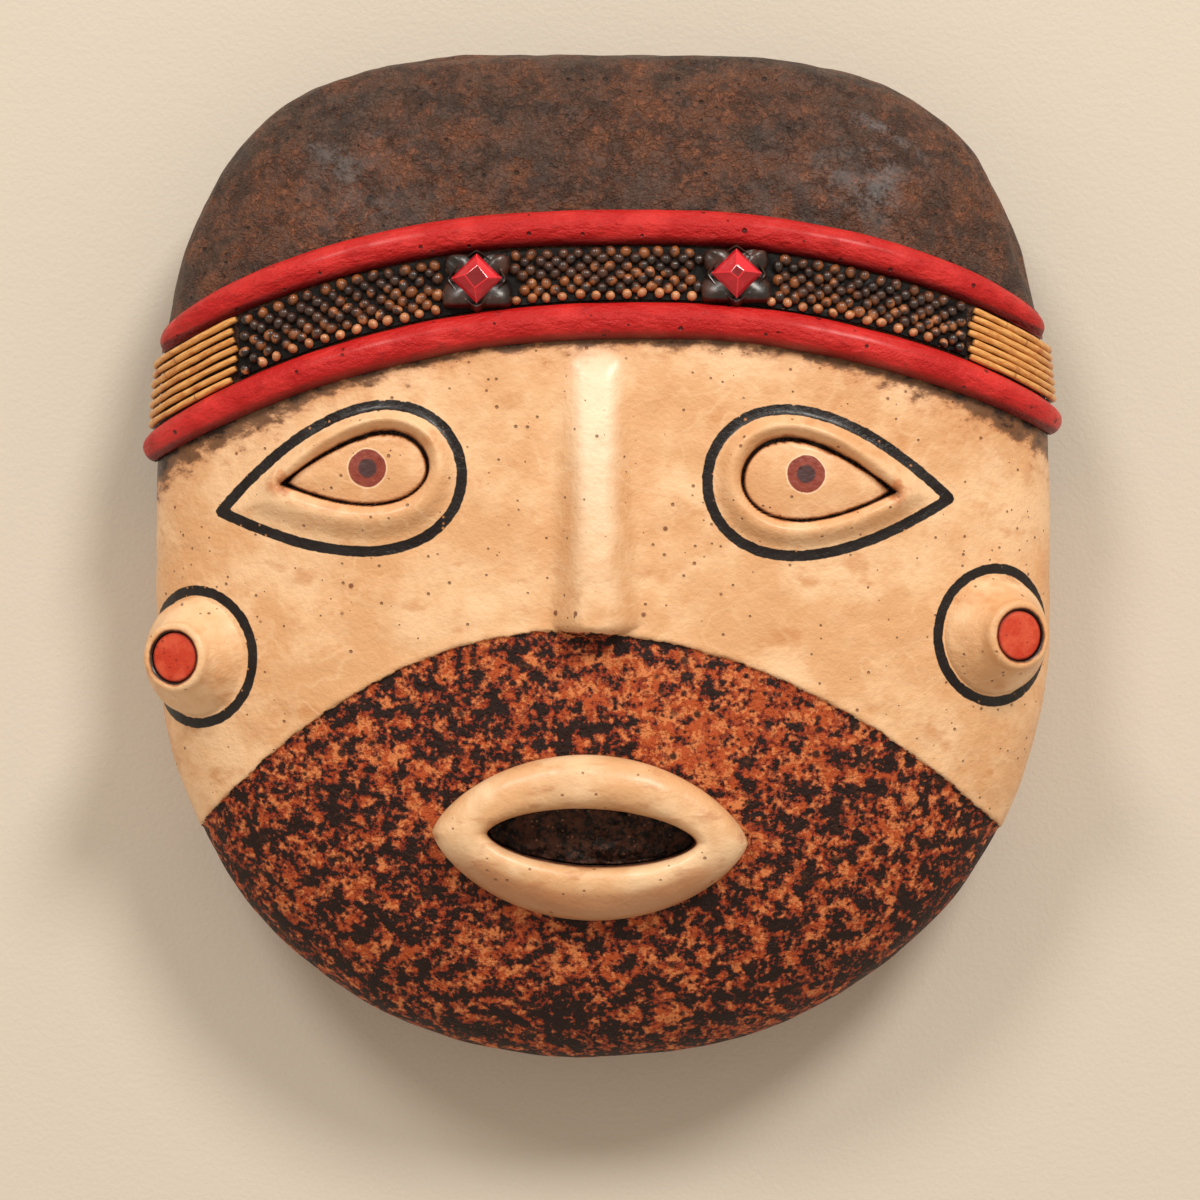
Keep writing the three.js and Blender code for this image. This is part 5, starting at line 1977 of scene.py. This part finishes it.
@dataclass(frozen=True)
class SetStone:
    """A red stone in its dark mount of a collar and four petals."""

    label: str
    x: float
    table_turn: float
    table_share: float
    half_diagonal: float = 6.2
    height: float = 3.6
    stone_level: float = 3.75
    collar_height: float = 3.4
    culet_share: float = 0.8
    edge_power: float = 1.22
    fit: float = 6.5

    def frame(self, out: float) -> Matrix:
        """Returns the stone's place on the skin, with +Z square to it."""
        x, y = np.array([self.x]), np.array([float(BAND.y(0.5, self.x))])
        normal = Vector(SHELL.normal(*SHELL.spot(x, y))[0])
        turn = Vector((0, 0, 1)).rotation_difference(normal).to_matrix().to_4x4()
        return Matrix.Translation(SHELL.over(x, y, np.array([out]))[0]) @ turn

    def squared(self, turn: Values) -> Values:
        """Returns how far a soft-cornered diamond reaches at each turn."""
        power = self.edge_power
        return (np.abs(np.cos(turn)) ** power + np.abs(np.sin(turn)) ** power) ** (-1 / power)

    def collar(self) -> bmesh.types.BMesh:
        """Builds the collar with its thin lip around the stone."""
        top, inner = self.collar_height, self.half_diagonal + CLEARANCE + 0.15
        foot, seat = 0.15, 2.15
        section = [(0.0, foot), (inner + 1.0, foot), (inner + 1.0, 1.2), (inner + 0.8, 2.2)]
        section += [(inner + 0.55, top), (inner + 0.36, top + 0.3), (inner + 0.12, top + 0.24)]
        section += [(inner, top), (inner - 0.1, seat), (0.0, seat)]
        bm = spun(section, 96)
        places = corners(bm)
        turn, radius = polar(places)
        radius = radius * self.squared(turn)
        z = places[:, 2] + ripple(places, 2.0, 71) * 0.16 * smooth(places[:, 2], 1.8, 3.4)
        radius = radius + ripple(places, 2.6, 72) * 0.12 * (places[:, 2] > 1) * (radius > inner * 0.8)
        move_corners(bm, np.stack([radius * np.cos(turn), radius * np.sin(turn), z], axis=1))
        return bm

    def petal(self, quarter: int) -> bmesh.types.BMesh:
        """Builds one petal. The upper two are folded leaves, the lower two are fuller and ridged."""
        form = UPPER_PETAL if quarter < 2 else LOWER_PETAL
        bm = bmesh.new()
        bmesh.ops.create_uvsphere(bm, u_segments=36, v_segments=20, radius=1)
        x, y, z = corners(bm).T
        out = 5.4 + form.length * np.sign(x) * np.abs(x) ** form.softness
        aside = form.width * (1 + form.flare * x) * np.sign(y) * np.abs(y) ** form.softness
        ridge = 1 - form.ridge * np.abs(y) ** 1.1 + form.lean * x
        fold = form.fold * np.exp(-(((aside - 1.2) / 0.7) ** 2)) * smooth(z, 0.0, 0.3)
        up = 0.45 + form.height * np.where(z > 0, z * ridge, z * 0.2) - fold
        up += 0.14 * ripple(np.stack([out, aside, up], axis=1), 3.0, 73 + quarter)
        turn = math.radians(45 + 90 * quarter)
        across = self.held(out * math.cos(turn) - aside * math.sin(turn), 8.7, 1.5)
        along = self.held(out * math.sin(turn) + aside * math.cos(turn), self.fit, 1.2)
        move_corners(bm, np.stack([across, along, np.maximum(up, 0.15)], axis=1))
        outwards(bm)
        return bm

    @staticmethod
    def held(value: Values, limit: float, softness: float) -> Values:
        """Returns values eased to stay within a limit on both sides."""
        over = np.abs(value) - limit + softness
        eased = limit - softness + softness * np.tanh(over / softness / 1.5)
        return np.sign(value) * np.where(over > 0, eased, np.abs(value))

    def mount(self, finish: bpy.types.Material) -> bpy.types.Object:
        """Builds the mount from its collar and petals."""
        frame_matrix = self.frame(STRIP_THICKNESS)
        bm = self.collar()
        bm.transform(frame_matrix)
        piece = made(f"petalled_mount_{self.label}", bm, [finish])
        for quarter in range(4):
            petal = self.petal(quarter)
            petal.transform(frame_matrix)
            combine(piece, made("petal", petal, [finish]), Joining.ADD)
        local = seen_from(frame_matrix, places_of(piece))
        foot = smooth(-local[:, 1], 3.5, 6.5) * (1 - smooth(local[:, 2], 0.4, 2.6))
        record(piece, "foot", foot)
        keep_edges(piece, 50)
        return settle(piece, "dark_mount", f"stone_mount_{self.label}")

    def stone(self, finish: bpy.types.Material) -> bpy.types.Object:
        """Builds the cut stone: a pavilion, a girdle, a stepped crown and a small table."""
        bm = bmesh.new()
        bmesh.ops.create_circle(bm, cap_ends=True, segments=4, radius=self.half_diagonal * self.culet_share)
        face = bm.faces[:][0]
        crown = 0.86
        steps = [
            (1 / self.culet_share, 0.30, 0.0, 0.0), (1.0, 0.12, 0.0, 0.0), (crown, 0.22, 0.0, 0.0),
            (self.table_share / crown, 0.36, self.table_turn, 0.02),
        ]
        for grow, rise, turn, shift in steps:
            bmesh.ops.recalc_face_normals(bm, faces=bm.faces)
            top = bmesh.ops.extrude_face_region(bm, geom=[face])["geom"]
            verts = [part for part in top if isinstance(part, bmesh.types.BMVert)]
            face = next(part for part in top if isinstance(part, bmesh.types.BMFace))
            middle = face.calc_center_median()
            change = Matrix.Translation(Vector((shift, -shift, rise * self.height)))
            change = change @ Matrix.Translation(middle) @ Matrix.Rotation(math.radians(turn), 4, "Z")
            change = change @ Matrix.Diagonal((grow, grow, 1, 1)) @ Matrix.Translation(-middle)
            bmesh.ops.transform(bm, matrix=change, verts=verts)
        outwards(bm)
        bmesh.ops.bevel(
            bm, geom=[edge for edge in bm.edges if edge.calc_face_angle(0) > 0.15], offset=0.14,
            segments=1, affect="EDGES", profile=0.5, material=-1,
        )
        bm.transform(self.frame(self.stone_level))
        piece = made(f"cut_stone_{self.label}", bm, [finish])
        layer = piece.data.attributes.new("facet_light", "FLOAT", "FACE")
        tones = []
        # Painted light for each facet: small bevels bright as glints, the flat table dark, the rest lit and
        # shaded at random.
        for i, polygon in enumerate(piece.data.polygons):
            small = polygon.area / MM**2 < 1.2
            flat = polygon.normal.z > 0.97
            lit = 0.5 + 0.5 * scatter(i, 81)
            tones.append(0.95 if small else (0.2 if flat else lit))
        layer.data.foreach_set("value", tones)
        piece.data.polygons.foreach_set("use_smooth", [False] * len(piece.data.polygons))
        return settle(piece, "red_stone", f"red_stone_{self.label}")


@dataclass(frozen=True)
class CheekDisc:
    """One orange disc let into the end of a cheek knob."""

    label: str
    knob: Knob
    radius: float = 6.1
    thickness: float = 1.4
    recess: float = 0.4

    def build(self, finish: bpy.types.Material) -> bpy.types.Object:
        """Builds the disc, slightly domed with a rounded, uneven edge, and marks its rim for painted shade.
        """
        top = self.knob.height - self.recess
        base = top - self.thickness
        line = [(0.0, base), (self.radius - 0.2, base), (self.radius, base + 0.25), (self.radius, top - 0.75)]
        line += [(self.radius - 0.08, top - 0.5), (self.radius - 0.35, top - 0.3)]
        line += [(self.radius * (1 - i / 8), top - 0.28 * (1 - i / 8) ** 2) for i in range(1, 8)]
        bm = spun([*line, (0.0, top)], 72)
        places = corners(bm)
        _, radius = polar(places)
        wobble = 0.10 * ripple(places * [1, 1, 0], 4.0, 91 + self.knob.side) * smooth(radius, 4, 6)
        away = places * [1, 1, 0] / np.maximum(radius, 1)[:, None]
        places = places + away * np.minimum(wobble, 0.1)[:, None]
        places[:, 2] += 0.06 * ripple(places, 1.6, 92) * (places[:, 2] > top - 0.6)
        move_corners(bm, places)
        edge = radius / self.radius
        bm.transform(self.knob.frame())
        piece = made(f"orange_disc_{self.label}", bm, [finish])
        # The edge share carries the painted shade at the rim.
        record(piece, "edge", edge)
        keep_edges(piece, 50)
        return settle(piece, "orange_disc", f"cheek_disc_{self.label}")


@dataclass(frozen=True)
class Studio:
    """The plain floor, the soft lights and the camera straight above the mask."""

    camera_x: float = -0.75
    camera_y: float = -11.25
    camera_height: float = 1100.0
    lens: float = 127.7
    light_distance: float = 3.0
    light_size: float = 0.8
    light_power: float = 45.5
    light_side: float = 0.53
    light_up: float = 0.92
    glow_strength: float = 0.56
    warm: tuple[float, float, float] = (1.0, 0.96, 0.9)

    def light(self, name: str, side: float, share: float) -> None:
        """Adds one soft light above the cap, to one side."""
        lamp = bpy.data.lights.new(name, "AREA")
        lamp.shape = "DISK"
        lamp.size = self.light_size
        lamp.energy = self.light_power * share
        lamp.color = self.warm
        holder = bpy.data.objects.new(name, lamp)
        away = Vector((side * self.light_side, self.light_up, 1.0)).normalized()
        holder.location = away * self.light_distance
        holder.rotation_euler = away.to_track_quat("Z", "Y").to_euler()
        bpy.context.scene.collection.objects.link(holder)

    def build(self) -> None:
        """Builds the floor, the lights, the surrounding glow and the camera."""
        bm = bmesh.new()
        bmesh.ops.create_grid(bm, x_segments=8, y_segments=8, size=3000)
        bmesh.ops.translate(bm, vec=(0, 0, -0.2), verts=bm.verts)
        made("plain_floor", bm, [PlasterFloor().material()])
        self.light("upper_left_light", -1, 0.7)
        self.light("upper_right_light", 1, 1.18)
        world = bpy.data.worlds.new("soft_room")
        world.use_nodes = True
        glow = world.node_tree.nodes["Background"]
        glow.inputs["Color"].default_value = (1.0, 0.86, 0.7, 1.0)
        glow.inputs["Strength"].default_value = self.glow_strength
        bpy.context.scene.world = world
        bpy.context.scene.view_settings.view_transform = "Standard"
        camera = bpy.data.objects.new("camera_above", bpy.data.cameras.new("camera_above"))
        camera.data.lens = self.lens
        camera.data.sensor_width = 36.0
        camera.location = (self.camera_x * MM, self.camera_y * MM, self.camera_height * MM)
        bpy.context.scene.collection.objects.link(camera)
        bpy.context.scene.camera = camera


def main() -> None:
    """Builds the studio and every piece of the mask."""
    logging.basicConfig(level=logging.INFO, format="%(message)s")
    Studio().build()
    shell = CarvedShell()
    shell.build()
    MouthRing().build()
    MouthFilling().build()
    red = RollPaint().material()
    RedRoll("upper_roll", "upper_red_roll", mix=0.0, wrap=0.0, end_sink=2.8).build(red)
    RedRoll("lower_roll", "lower_red_roll", mix=1.0, wrap=8.0, end_sink=0.9).build(red)
    SeedStrip().build()
    straw = SplitCane().material()
    CaneBundle(-1, "left").build(straw)
    CaneBundle(1, "right").build(straw)
    resin, gem = DarkResin().material(), RedGem().material()
    left = SetStone("left", STONES_X[0], table_turn=-8.0, table_share=0.46)
    right = SetStone("right", STONES_X[1], table_turn=6.0, table_share=0.27)
    for stone in (left, right):
        stone.mount(resin)
        stone.stone(gem)
    clay = OrangeClay().material()
    for label, knob in zip(("left", "right"), shell.knobs):
        CheekDisc(label, knob).build(clay)


if __name__ == "__main__":
    main()
